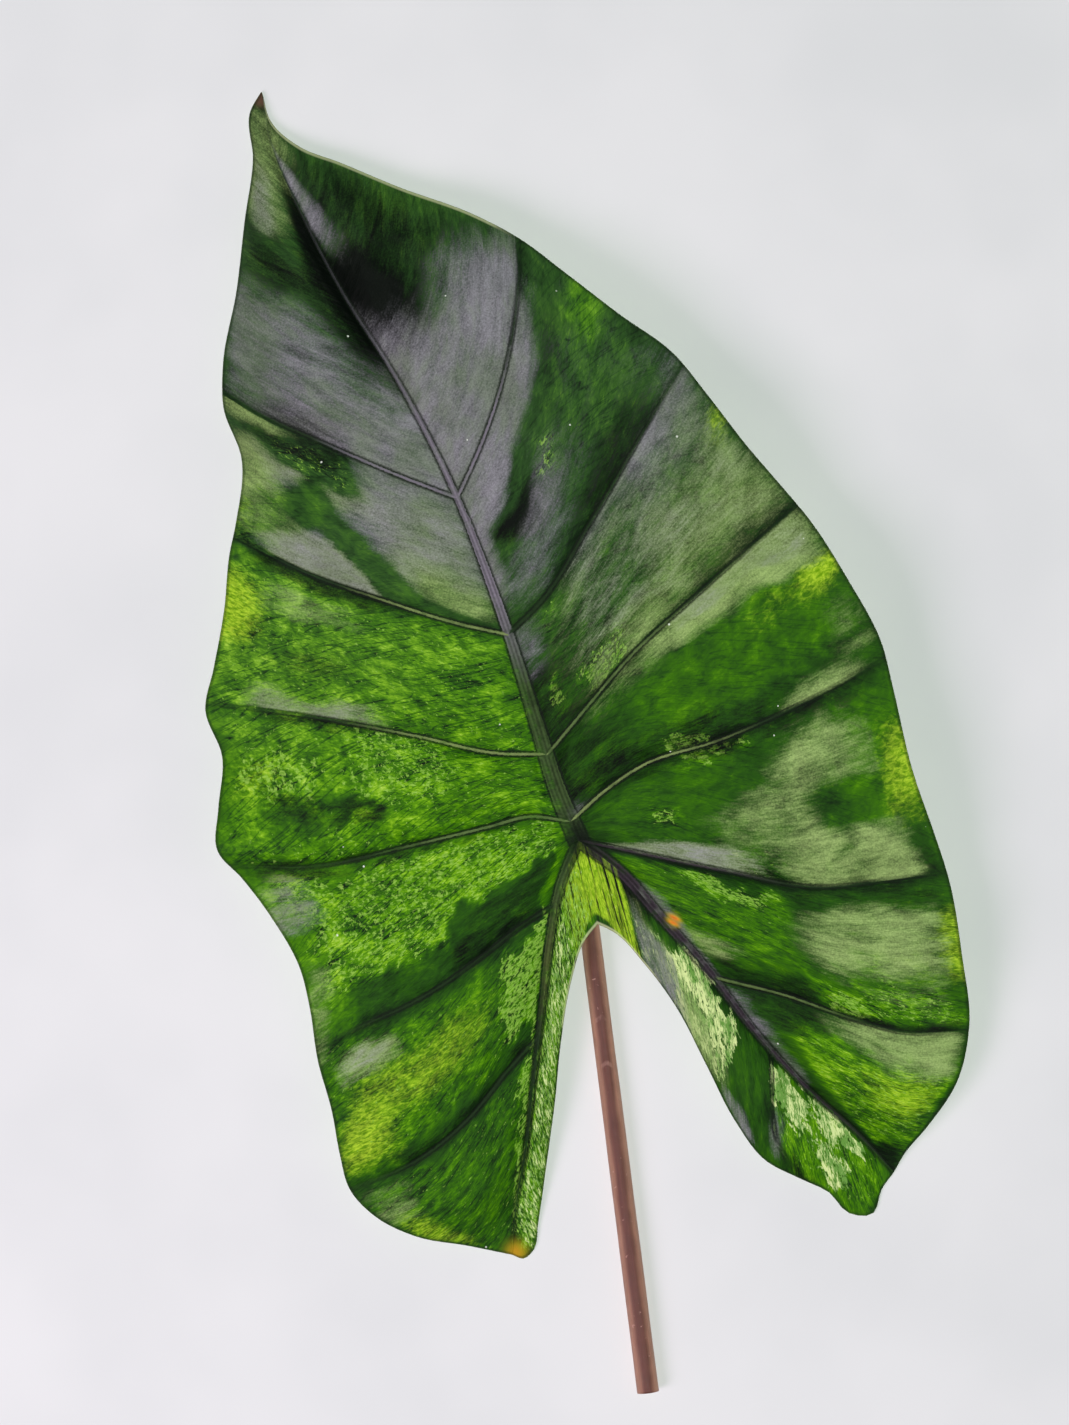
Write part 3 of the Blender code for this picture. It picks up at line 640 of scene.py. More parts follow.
@dataclass
class SheetPatch:
    """Part of the sheet between a spine and an edge, with grid lines that follow veins."""

    side: Side
    spine: np.ndarray
    edge: np.ndarray
    anchors: list[Anchor]
    panel_lines: tuple[int, ...]
    cross_lines: int
    shoulder: float
    droop_power: float
    swell: float
    swell_power: float = 0.8
    swell_at_edge: float = 0.25
    full_width: float = 45.0
    spine_crease: float = 12.0
    vein_pull: float = 0.8
    spine_pull: float = 0.62
    last_step: float = 0.3

    def line_positions(self) -> np.ndarray:
        """Position of every grid line, whole at an anchor and drawn in towards it.

        Each panel's even shares f become f - pull * sin(2 pi f) / (2 pi).

        Returns:
            The positions, counted in panels from the first anchor.
        """
        positions = []
        for panel, count in enumerate(self.panel_lines):
            share = np.arange(count) / count
            positions.append(panel + share - self.vein_pull * np.sin(2 * np.pi * share) / (2 * np.pi))
        return np.append(np.concatenate(positions), float(len(self.panel_lines)))

    def cross_shares(self) -> np.ndarray:
        """Where the lines along the spine lie, denser at the spine.

        Returns:
            Shares of the way from spine to edge: f - pull * sin(pi f) / pi of even shares f,
            and one more close to the edge.
        """
        share = np.linspace(0.0, 1.0, self.cross_lines)
        share = share - self.spine_pull * np.sin(np.pi * share) / np.pi
        near_edge = 1 - (1 - share[-2]) * self.last_step
        return np.insert(share, -1, near_edge)

    def bows(self, position: np.ndarray, across: np.ndarray) -> np.ndarray:
        """Bow of each grid line, blended from the bows of the anchors on its two sides.

        Args:
            position: position of each line, in panels.
            across: shares of the way from spine to edge.

        Returns:
            One offset in plan for each line and share.
        """
        table = np.stack([anchor.bow(across) for anchor in self.anchors])
        panel = np.clip(np.floor(position).astype(int), 0, len(self.anchors) - 2)
        blend = smoothstep(position - panel)[:, None, None]
        return table[panel] * (1 - blend) + table[panel + 1] * blend

    def heights(
        self, across: np.ndarray, phase: np.ndarray, reach: np.ndarray, ends: tuple[np.ndarray, np.ndarray]
    ) -> np.ndarray:
        """Sheet height: a droop from spine to edge, a shoulder, and a swell between veins.

        Args:
            across: shares of the way from spine to edge.
            phase: phase of each line.
            reach: length of each line.
            ends: height of each line on the spine and on the edge.

        Returns:
            spine * (1 - a^p) + edge * a^p, plus shoulder * crease * (1 - aa), plus
            swell * |sin(pi * phase)|^q * crease * (1 - k * aaa), where the crease rises with
            the reach and with the distance from the spine.
        """
        droop = across**self.droop_power
        height = ends[0][:, None] * (1 - droop) + ends[1][:, None] * droop
        crease = smoothstep(reach / self.full_width)[:, None]
        crease = crease * (1 - np.exp(-across * reach[:, None] / self.spine_crease))
        height += self.shoulder * crease * (1 - across**2)
        wave = np.abs(np.sin(np.pi * phase))[:, None] ** self.swell_power
        return height + self.swell * wave * crease * (1 - (1 - self.swell_at_edge) * across**3)

    def grid(self) -> SheetGrid:
        """Places, heights and flow coordinates of the patch's grid.

        Returns:
            The grid. Its flow coordinates are millimetres across the veins, measured half way
            out, and millimetres along them from the spine.
        """
        position, across = self.line_positions(), self.cross_shares()
        index = np.arange(len(self.anchors))
        on_spine = np.interp(position, index, [a.root for a in self.anchors])
        on_edge = np.interp(position, index, [a.end for a in self.anchors])
        phase = np.interp(position, index, [a.phase for a in self.anchors])
        spine, edge = point_at(self.spine, on_spine), point_at(self.edge, on_edge)
        reach = np.linalg.norm(edge[:, :2] - spine[:, :2], axis=1)
        share = across[None, :, None]
        plan = spine[:, None, :2] * (1 - share) + edge[:, None, :2] * share
        plan = plan + self.bows(position, across)
        height = self.heights(across[None, :], phase, reach, (spine[:, 2], edge[:, 2]))
        over = lengths_along(plan[:, len(across) // 2])[:, None]
        out = across[None, :] * reach[:, None]
        over, phases, shares, out = np.broadcast_arrays(over, phase[:, None], across[None, :], out)
        flow = np.stack([over, out], axis=-1)
        return SheetGrid(self.side, plan, height, phases, shares, reach[:, None] - out, flow)


@dataclass
class Sheet:
    """The whole sheet with the patches joined: one row a point, and triangles seen from above."""

    plan: np.ndarray
    height: np.ndarray
    rim_gap: np.ndarray
    tints: dict[str, np.ndarray]
    triangles: np.ndarray
    corner_flow: np.ndarray
    point_flow: np.ndarray


@dataclass(frozen=True)
class HalfBlade:
    """Half of the blade: its costa, its two edges, its veins, and the way its sheet bends.

    The veins count from the tip. A hub line is one more leading line, with its phase.
    """

    outer: Side
    inner: Side
    costa: Points
    lobe_end: Points
    edge: Points
    inner_edge: Points
    veins: tuple[Points, ...]
    costa_lines: tuple[int, ...]
    shoulder: float
    droop_power: float
    hub_lines: tuple[tuple[Points, float], ...] = ()
    inner_vein: Points = ()


RIGHT_HALF = HalfBlade(
    outer=Side.RIGHT,
    inner=Side.INNER_RIGHT,
    costa=((8, -14, 20), (13, -29, 19), (20, -50, 17), (26, -73, 13.5), (33, -93, 9), (43, -115, 3.5)),
    lobe_end=((48, -129, 0.9),),
    edge=(
        (-1, 234, 2), (4, 223, 4.5), (13, 214, 6), (27, 199.5, 8.5), (44, 183, 12),
        (53, 172, 13), (62, 156, 17.5), (72, 138, 20), (82, 122, 17), (86.5, 106, 20),
        (91, 88, 23), (96, 73, 20), (99.5, 62, 19), (103, 40, 24), (105, 18, 22), (103, 5, 21),
        (98.5, -20, 24), (97.5, -38, 21), (96.5, -53, 17), (91, -76, 18), (85, -97, 12),
        (76, -110, 10), (62, -120, 5.5), (53, -125, 2.5),
    ),
    inner_edge=(
        (-1, -29, 17.5), (4, -42, 17.5), (7.5, -57, 16), (9, -76, 13), (10.5, -96, 8.5),
        (14, -110, 5), (22, -120, 3), (28, -127, 1.5), (31, -135, 0.9), (37, -138, 0.9),
        (43, -132, 0.9),
    ),
    veins=(
        ((6.5, 107), (20, 119.5), (37, 140), (50, 163), (53.5, 172)),
        ((4.5, 64), (17, 69), (40, 85), (64, 103), (84, 118)),
        ((1.5, 27), (19, 36), (34, 43.5), (63, 54), (99, 66)),
        ((0, 6), (13, 10.5), (26, 13), (50, 11), (84, 12), (105, 14)),
        ((0, 0), (18, -12.5), (36, -25), (61, -41), (79, -46.5), (97, -51.5)),
        ((22, -54), (38, -66), (54, -80.5), (66, -90), (84.5, -98)),
    ),
    costa_lines=(36, 42),
    shoulder=4.5,
    droop_power=2.0,
    inner_vein=((28.5, -81), (22, -95), (19.5, -108), (21.5, -119.5)),
)

LEFT_HALF = HalfBlade(
    outer=Side.LEFT,
    inner=Side.INNER_LEFT,
    costa=(
        (-10, -10, 20), (-20, -25, 18), (-29, -41, 15.5), (-42, -64, 11), (-51, -80, 7.5),
        (-60, -94, 3.5),
    ),
    lobe_end=((-67, -107, 0.9),),
    edge=(
        (-5, 239, 1.5), (-10, 225, 3.5), (-19, 209.5, 5.5), (-30, 190, 7), (-42, 172, 6.5),
        (-47, 160, 6), (-48, 144, 4.5), (-57, 126.5, 9), (-62, 119, 11), (-70, 104, 13),
        (-80, 89, 11), (-87, 79, 10), (-88, 64, 7.5), (-95, 50, 11), (-100, 39, 12),
        (-96.5, 28, 9.5), (-93, 14, 10), (-91, -3, 12.5), (-93, -15, 11), (-97, -30, 9),
        (-99, -46, 10.5), (-102, -59, 9), (-103.5, -70, 6.5), (-100, -79.5, 6.5),
        (-91, -90, 7), (-78, -99, 4),
    ),
    inner_edge=(
        (-10, -28, 17), (-18, -37, 15.5), (-28, -52.5, 12), (-37, -69, 8.5), (-47, -86, 4.5),
        (-56, -101, 1.5), (-61, -108.5, 0.9), (-64, -109.5, 0.9),
    ),
    veins=(
        ((6.5, 107), (-7, 120), (-23, 137), (-38, 154), (-45.5, 165)),
        ((4.5, 64), (-10, 74.5), (-24.5, 87), (-43, 104), (-59, 123)),
        ((1.5, 27), (-12, 33), (-32, 47), (-57, 63.5), (-86, 80.5)),
        ((0, 6), (-10.5, 12), (-23, 14), (-47, 18), (-74, 23), (-98.5, 33)),
        ((-14.5, -15), (-26, -17), (-41, -21), (-62, -25), (-82, -26), (-96, -27)),
        ((-33, -49), (-47, -55.5), (-61, -63), (-80, -69), (-103.5, -70)),
    ),
    costa_lines=(20, 24, 34),
    shoulder=1.0,
    droop_power=2.8,
    hub_lines=((((0, 0), (-45, -2), (-91.5, 2)), 4.5),),
)


@dataclass(frozen=True)
class LeafBlade:
    """The blade: a thin sheet with its ribs, the swelling between them and the waved edge.

    An unevenness says its height, its seed, its shortest and longest wave, and how many waves.
    """

    node: str = "leaf_blade"
    slot: str = "blade_green"
    halves: tuple[HalfBlade, HalfBlade] = (RIGHT_HALF, LEFT_HALF)
    tip: Points = ((0, 243, 0.9),)
    hub: Points = ((0, 0, 21.0),)
    sinus: Points = ((-4.5, -25, 17.5),)
    midrib: Points = (
        (-3, 230, 3.5), (-3, 202, 11), (-1, 177, 17), (4, 145, 21.5), (6.5, 107, 24.5),
        (6, 86, 25.5), (4.5, 61, 25), (2, 36, 23.5), (0, 15, 22),
    )
    midrib_lines: tuple[int, ...] = (64, 34, 34, 34, 22)
    outer_cross_lines: int = 80
    inner_cross_lines: int = 34
    inner_shoulder: float = 0.5
    inner_droop_power: float = 1.5
    swell: float = 4.2
    thickness: float = 0.85
    rim_thickness: float = 0.5
    rim_taper: float = 4.0
    rim_bulge: float = 0.22
    boss_depth: float = 5.0
    seat_radius: float = 7.5
    boss_radius: float = 13.0
    unevenness: tuple[tuple[float, int, Pair, int], ...] = (
        (0.22, 3, (9.0, 20.0), 16), (0.06, 8, (3.0, 6.0), 30),
    )
    calm_rim: float = 12.0
    dents: tuple[tuple[Pair, Pair, float], ...] = (
        ((20, 178), (11, 24), -5.0), ((25, 101), (11, 9), -3.0), ((42, 152), (12, 20), 2.5),
        ((-32, 136), (13, 8), -2.2), ((-50, 112), (15, 8), 1.5),
    )
    rib_reach: float = 20.0
    side_limit: float = 15.0
    groove: float = 0.22
    groove_place: float = 1.25
    groove_spread: float = 0.3
    groove_fade: Pair = (1.0, 0.4)
    groove_start: float = 0.6
    drift_seeds: tuple[int, int] = (31, 57)
    phase_drift: float = 0.025
    across_drift: float = 0.012
    free_from_vein: float = 2.5
    free_from_spine: float = 12.0
    inner_freedom: float = 0.25
    inner_widening: float = 4.0
    calm_waves: Waves = ((0.8, (26.0, 44.0)), (0.35, (10.0, 18.0)))
    ragged_waves: Waves = ((0.9, (18.0, 36.0)), (1.0, (7.0, 14.0)), (0.8, (3.0, 6.0)))
    ripe_spots: Spots = (((16.7, -32.8), 2.2, 1.0), ((-65.5, -107), 5.0, 0.55))
    dry_spots: Spots = (((0, 243), 5.0, 1.0),)

    def costa_of(self, half: HalfBlade) -> Points:
        """Course of one costa from the hub outwards."""
        return self.hub + half.costa + half.lobe_end

    def midrib_course(self) -> Points:
        """Course of the midrib from the tip to the hub."""
        return self.tip + self.midrib + self.hub

    def outer_patch(self, half: HalfBlade) -> SheetPatch:
        """Patch from the midrib and one costa out to the blade's outer edge.

        Args:
            half: which half of the blade.

        Returns:
            The patch, led by the half's veins, its hub line and the two ends.
        """
        spine = np.vstack([smooth_curve(self.midrib_course()), smooth_curve(self.costa_of(half))[1:]])
        edge = smooth_curve(self.tip + half.edge + half.lobe_end)
        lines = [(vein, phase) for phase, vein in enumerate(half.veins, 1)]
        anchors = [Anchor(station_of(spine, line[0]), station_of(edge, line[-1]), phase, line)
                   for line, phase in lines + list(half.hub_lines)]
        anchors.append(Anchor(0.0, 0.0, 0.0))
        last_phase = len(half.veins) + 1
        anchors.append(Anchor(lengths_along(spine)[-1], lengths_along(edge)[-1], last_phase))
        anchors.sort(key=lambda anchor: anchor.root)
        return SheetPatch(half.outer, spine, edge, anchors, self.midrib_lines + half.costa_lines,
                          self.outer_cross_lines, half.shoulder, half.droop_power, self.swell)

    def inner_patch(self, half: HalfBlade, outer: SheetPatch) -> SheetPatch:
        """Patch from one costa to the edge of the sinus.

        Args:
            half: which half of the blade.
            outer: that half's outer patch.

        Returns:
            The patch, led by lines that leave the costa where the outer patch's do.
        """
        spine = smooth_curve(self.costa_of(half))
        edge = smooth_curve(self.sinus + half.inner_edge + half.lobe_end)
        spine_length, edge_length = lengths_along(spine)[-1], lengths_along(edge)[-1]
        matches = [(0.0, 0.0), (spine_length, edge_length)]
        if half.inner_vein:
            root, end = half.inner_vein[0], half.inner_vein[-1]
            matches.insert(1, (station_of(spine, root), station_of(edge, end)))
        on_spine, on_edge = zip(*matches)
        hub_station = lengths_along(smooth_curve(self.midrib_course()))[-1]
        roots = [anchor.root - hub_station for anchor in outer.anchors[len(self.midrib_lines):]]
        anchors = [Anchor(root, np.interp(root, on_spine, on_edge), root / spine_length)
                   for root in roots]
        return SheetPatch(half.inner, spine, edge, anchors, half.costa_lines, self.inner_cross_lines,
                          self.inner_shoulder, self.inner_droop_power, self.swell)

    def ribs(self) -> list[Rib]:
        """Midrib, costae, side veins and the inner vein.

        Returns:
            Each rib with its sizes and ridge colours.
        """
        dark, olive, slate = paint(22, 30, 20), paint(56, 76, 40), paint(112, 106, 118)
        dusk, aubergine, moss = paint(62, 62, 66), paint(50, 42, 50), paint(26, 42, 22)
        reed, straw, bark = paint(88, 108, 62), paint(116, 132, 80), paint(68, 78, 40)
        right, left = (self.costa_of(half) for half in self.halves)
        midrib_ridge = ((0.0, dark), (0.05, olive), (0.2, olive), (0.3, slate), (0.5, slate), (0.7, dusk))
        left_ridge = ((0.0, dark), (0.1, olive), (0.3, bark), (0.48, moss))
        right_ridge = ((0.0, dark), (0.1, aubergine), (0.7, aubergine), (1.0, moss))
        ribs = [
            Rib(self.midrib_course()[::-1], (3.0, 0.45), (0.9, 0.3), (3.4, 1.0), (4.6, 0.4),
                midrib_ridge, 2.6, 0.5, 0.12),
            Rib(left, (1.5, 0.34), (0.8, 0.3), (2.8, 1.0), (4.0, 0.3), left_ridge, 1.2, 0.7, 0.6),
            Rib(right, (1.9, 0.5), (0.8, 0.3), (2.8, 1.0), (4.0, 0.3), right_ridge, 1.2, 0.8, 0.7),
        ]
        roots = (slate, moss, reed, straw, aubergine, reed, slate, straw, straw, reed, moss, moss)
        veins = [vein for half in self.halves for vein in half.veins]
        for vein, colour in zip(veins, roots):
            ridge = ((0.0, colour), (0.35, colour), (0.6, moss))
            ribs.append(Rib(vein, (0.6, 0.34), (0.3, 0.08), (1.7, 0.9), (1.7, 0.3), ridge))
        for vein in (half.inner_vein for half in self.halves if half.inner_vein):
            ridge = ((0.0, reed), (1.0, moss))
            ribs.append(Rib(vein, (0.6, 0.34), (0.3, 0.1), (1.7, 0.9), (1.7, 0.3), ridge))
        return ribs

    def rib_relief(self, plan: np.ndarray) -> dict[str, np.ndarray]:
        """Relief and colour that the ribs give to each plan point.

        Each rib rises and hangs by 1 - (gap / half width)^2, with a groove beside it of
        exp(-((gap / half width - place) / spread)^2), kept off every rib's own ridge. Where
        ribs meet, the larger relief holds.

        Args:
            plan: points, one row each.

        Returns:
            rise, keel, groove, the millimetres to the side and to the middle of the nearest
            rib, that rib's ridge colour, and how clearly it shows.
        """
        count = len(plan)
        rise, keel, groove = np.zeros((3, count))
        side, nearest = np.full((2, count), self.side_limit)
        span, tone, clear = np.full(count, self.rib_reach), np.zeros((count, 3)), np.ones(count)
        for rib in self.ribs():
            curve = smooth_curve(rib.course, rib.samples)[:, :2]
            reach = self.rib_reach * max(rib.half_width)
            near = np.all((plan > curve.min(axis=0) - reach) & (plan < curve.max(axis=0) + reach), axis=1)
            where = np.flatnonzero(near)
            gap, along = gap_to_curve(plan[where], curve)
            half_width = rib.half_width_at(along)
            share = gap / half_width
            above = np.clip(1 - share**2, 0, 1) * np.interp(along, [0, 1], rib.rise)
            below = np.clip(1 - (gap / np.interp(along, [0, 1], rib.keel_width)) ** 2, 0, 1)
            below = below * np.interp(along, [0, 1], rib.keel)
            beside = np.exp(-(((share - self.groove_place) / self.groove_spread) ** 2))
            beside = beside * np.interp(along, [0, 1], self.groove_fade)
            for relief, own in ((rise, above), (keel, below), (groove, beside)):
                relief[where] = np.maximum(relief[where], own)
            nearest[where] = np.minimum(nearest[where], gap)
            closer = share < span[where]
            span[where] = np.where(closer, share, span[where])
            side[where] = np.where(closer, np.minimum(gap - half_width, self.side_limit), side[where])
            tone[where] = np.where(closer[:, None], rib.ridge_at(along), tone[where])
            clear[where] = np.where(closer, rib.clear_at(along), clear[where])
        groove *= smoothstep(span - self.groove_start)
        return {"rise": rise, "keel": keel, "groove": groove, "side": side, "gap": nearest,
                "tone": tone, "clear": clear}

    def spots(self, plan: np.ndarray, spots: Spots) -> np.ndarray:
        """The strongest spot at each point, each strength * exp(-(distance / reach)^2)."""
        covers = [strength * np.exp(-np.sum((plan - np.array(centre)) ** 2, axis=1) / reach**2)
                  for centre, reach, strength in spots]
        return np.max(covers, axis=0)

    def dent_heights(self, plan: np.ndarray) -> np.ndarray:
        """Local hollows and swells, each height * exp(-(distance / reach)^2).

        Args:
            plan: points, one row each.

        Returns:
            Their sum at each point.
        """
        total = np.zeros(len(plan))
        for centre, reach, height in self.dents:
            offset = (plan - np.array(centre)) / np.array(reach)
            total += height * np.exp(-np.sum(offset**2, axis=1))
        return total

    def wander(self, grid: SheetGrid, waves: Waves) -> tuple[np.ndarray, np.ndarray]:
        """Leads a patch's lines astray, so that no marking's edge runs straight.

        Args:
            grid: the patch.
            waves: size and lengths of the seeded ripples, felt away from veins and spine.

        Returns:
            Phase and share across of each grid point.
        """
        plan = grid.plan.reshape(-1, 2)
        drifts = [sum(size * ripples(plan, seed + step, lengths)
                      for step, (size, lengths) in enumerate(waves)).reshape(grid.height.shape)
                  for seed in self.drift_seeds]
        is_inner = grid.side in (Side.INNER_RIGHT, Side.INNER_LEFT)
        off_vein = smoothstep(self.free_from_vein * np.abs(np.sin(np.pi * grid.phase)))
        off_spine = smoothstep(grid.across * self.free_from_spine)
        free = self.inner_freedom if is_inner else off_vein
        wider = self.inner_widening if is_inner else 1.0
        phase = grid.phase + self.phase_drift * drifts[0] * free
        return phase, grid.across + self.across_drift * drifts[1] * off_spine * wider

    def tints_of(self, grid: SheetGrid) -> dict[str, np.ndarray]:
        """Each marking's strength, and that of each painted shade and sheen, at each point of a patch.

        Its washes add up as 1 - (1 - first) * (1 - second), so no seam shows where they meet.
        A wash of negative strength takes that share of the marking away. The plain marking
        has no colour: it takes the vivid and lime markings away.

        Args:
            grid: the patch.

        Returns:
            Strengths from 0 to 1 by the marking's name.
        """
        tints = {tint.value: np.zeros(grid.height.size) for tint in Tint}
        calm, ragged = self.wander(grid, self.calm_waves), self.wander(grid, self.ragged_waves)
        for tint in Tint:
            for wash in (Wash(tint, *row) for row in MARKS_AND_PAINTED_LIGHT.get((grid.side, tint), ())):
                cover = wash.cover(*(calm if tint in CALM_TINTS else ragged)).ravel()
                so_far = tints[tint.value]
                added = cover * (1 - so_far) if wash.strength > 0 else cover * so_far
                tints[tint.value] = so_far + added
        plain = tints.pop(Tint.PLAIN.value)
        for tint in (Tint.VIVID, Tint.LIME):
            tints[tint.value] = tints[tint.value] * (1 - plain)
        return tints

    def sheet(self) -> Sheet:
        """All four patches joined along the midrib, the costae and the hub's line to the sinus.

        Returns:
            The sheet. Points of different patches that share a place are one point, triangles
            without area are left out, and the others face up.
        """
        outer = [self.outer_patch(half) for half in self.halves]
        inner = [self.inner_patch(half, patch) for half, patch in zip(self.halves, outer)]
        grids = [patch.grid() for patch in outer + inner]
        plan = np.vstack([grid.plan.reshape(-1, 2) for grid in grids])
        flow = np.vstack([grid.flow.reshape(-1, 2) for grid in grids])
        _, first, joined = np.unique(
            np.round(plan / SAME_POINT), axis=0, return_index=True, return_inverse=True
        )
        triangles, start = [], 0
        for grid in grids:
            triangles.append(lattice(start + np.arange(grid.height.size).reshape(grid.height.shape)))
            start += grid.height.size
        source = np.vstack(triangles)
        faces = joined.reshape(-1)[source]
        distinct = has_area(faces)
        source, faces = source[distinct], faces[distinct]
        corners = plan[first][faces]
        one, two = corners[:, 1] - corners[:, 0], corners[:, 2] - corners[:, 0]
        turned = one[:, 0] * two[:, 1] - one[:, 1] * two[:, 0] < 0
        source[turned], faces[turned] = source[turned][:, ::-1], faces[turned][:, ::-1]
        maps = [self.tints_of(grid) for grid in grids]
        tints = {name: np.concatenate([part[name] for part in maps])[first] for name in maps[0]}
        height = np.concatenate([grid.height.ravel() for grid in grids])[first]
        rim_gap = np.concatenate([grid.rim_gap.ravel() for grid in grids])[first]
        return Sheet(plan[first], height, rim_gap, tints, faces, flow[source], flow[first])

    def border(self, sheet: Sheet) -> tuple[np.ndarray, np.ndarray]:
        """The sheet's open border.

        Args:
            sheet: the joined sheet.

        Returns:
            Its directed edges, and the way out in plan at each of the sheet's points.
        """
        count = len(sheet.plan)
        sides = sheet.triangles[:, [0, 1, 1, 2, 2, 0]].reshape(-1, 2)
        codes, reverse = sides @ [count, 1], sides @ [1, count]
        edges = sides[~np.isin(codes, reverse)]
        step = sheet.plan[edges[:, 1]] - sheet.plan[edges[:, 0]]
        out = np.zeros((count, 2))
        for end in (0, 1):
            np.add.at(out, edges[:, end], np.stack([step[:, 1], -step[:, 0]], axis=1))
        length = np.linalg.norm(out, axis=1, keepdims=True)
        return edges, out / np.maximum(length, 1e-9)

    def levels(self, sheet: Sheet, relief: dict[str, np.ndarray]) -> tuple[np.ndarray, np.ndarray]:
        """Heights of the upper and of the lower side.

        The upper side gets the dents, the unevenness and the ribs. The lower one lies the
        thickness and the keels below, not under the floor, and is level on the hub's boss.

        Args:
            sheet: the joined sheet.
            relief: what its ribs add.

        Returns:
            One height a point for each side.
        """
        height = sheet.height + self.dent_heights(sheet.plan)
        inward = smoothstep(sheet.rim_gap / self.calm_rim)
        for size, seed, lengths, count in self.unevenness:
            height = height + size * ripples(sheet.plan, seed, lengths, count) * inward
        taper = smoothstep(sheet.rim_gap / self.rim_taper)
        thickness = self.rim_thickness + (self.thickness - self.rim_thickness) * taper
        under = np.maximum(height - thickness - relief["keel"], 0.0)
        top = np.maximum(height, under + thickness) + relief["rise"] - self.groove * relief["groove"]
        seat = self.hub[0][2] - self.thickness - self.boss_depth
        from_hub = np.linalg.norm(sheet.plan, axis=1)
        blend = smoothstep((from_hub - self.seat_radius) / (self.boss_radius - self.seat_radius))
        return top, seat + (under - seat) * blend

    def build(self) -> bpy.types.Object:
        """The blade as one closed mesh: upper sheet, lower sheet and a rounded rim.

        Returns:
            The object, with its points still in the leaf's own frame.
        """
        sheet = self.sheet()
        relief = self.rib_relief(sheet.plan)
        top, under = self.levels(sheet, relief)
        edges, out = self.border(sheet)
        count, ring = len(sheet.plan), np.unique(edges)
        place = np.zeros(count, dtype=int)
        place[ring] = 2 * count + np.arange(len(ring))
        rim = np.column_stack([sheet.plan[ring] + self.rim_bulge * out[ring],
                               (top[ring] + under[ring]) / 2])
        points = np.vstack([np.column_stack([sheet.plan, top]), np.column_stack([sheet.plan, under]), rim])
        a, b = edges[:, 0], edges[:, 1]
        strips = [(a, place[a], place[b]), (a, place[b], b),
                  (place[a], a + count, b + count), (place[a], b + count, place[b])]
        source = [(a, a, b), (a, b, b)] * 2
        faces = np.vstack([sheet.triangles, sheet.triangles[:, ::-1] + count]
                          + [np.stack(strip, 1) for strip in strips])
        flow = np.vstack([sheet.corner_flow, sheet.corner_flow[:, ::-1]]
                         + [sheet.point_flow[np.stack(ends, 1)] for ends in source])
        values = {
            **sheet.tints,
            **{f"rib_{name}": relief[name] for name in ("side", "tone", "gap", "clear")},
            "hub_gap": np.minimum(np.linalg.norm(sheet.plan, axis=1), FAR),
            "ripe": self.spots(sheet.plan, self.ripe_spots),
            "dry": self.spots(sheet.plan, self.dry_spots),
            "rim_gap": np.minimum(sheet.rim_gap, FAR),
        }
        attributes = {name: np.concatenate([part, part, part[ring]]) for name, part in values.items()}
        attributes["upper"] = np.repeat([1.0, 0.0, 0.5], [count, count, len(ring)])
        return make_piece("taro_blade", points, faces, flow, attributes)


# Making objects from arrays


def make_piece(
    name: str, points: np.ndarray, faces: np.ndarray, flow: np.ndarray,
    attributes: dict[str, np.ndarray],
) -> bpy.types.Object:
    """Object of one smooth closed piece.

    Args:
        name: the piece's name.
        points: places in millimetres.
        faces: triangles as point numbers.
        flow: flow coordinates in millimetres of every triangle's corners.
        attributes: one number or one vector for each point, by name.

    Returns:
        The object, linked to the scene, with its mesh in metres.
    """
    mesh = bpy.data.meshes.new(name)
    mesh.from_pydata((points * MM).tolist(), [], faces.tolist())
    mesh.update()
    mesh.shade_smooth()
    layer = mesh.uv_layers.new(name=FLOW_MAP)
    layer.data.foreach_set("uv", flow.reshape(-1).astype(np.float32))
    for label, values in attributes.items():
        flat = values.ndim == 1
        made = mesh.attributes.new(label, "FLOAT" if flat else "FLOAT_VECTOR", "POINT")
        made.data.foreach_set("value" if flat else "vector", values.reshape(-1).astype(np.float32))
    return link(name, mesh)


def link(name: str, data: bpy.types.ID) -> bpy.types.Object:
    """Puts a mesh, a lamp or a camera into the scene.

    Args:
        name: the object's name.
        data: what it shows.

    Returns:
        The object, at the origin.
    """
    made = bpy.data.objects.new(name, data)
    bpy.context.scene.collection.objects.link(made)
    return made


def places(piece: bpy.types.Object) -> np.ndarray:
    """Where a piece's points lie.

    Args:
        piece: the object.

    Returns:
        Its points in metres, one row each.
    """
    points = np.zeros(len(piece.data.vertices) * 3, dtype=np.float32)
    piece.data.vertices.foreach_get("co", points)
    return points.reshape(-1, 3)


def box_middle(piece: bpy.types.Object) -> Vector:
    """Middle of the piece's own box."""
    points = places(piece)
    return Vector((points.min(axis=0) + points.max(axis=0)) / 2)


def move_mesh(piece: bpy.types.Object, offset: Vector) -> None:
    """Shifts a piece's mesh in plan, so that its object stays at the origin.

    Args:
        piece: the object.
        offset: the shift in metres. Its height isn't used.
    """
    points = places(piece) + np.array([offset.x, offset.y, 0.0], dtype=np.float32)
    piece.data.vertices.foreach_set("co", points.reshape(-1))
    piece.data.update()


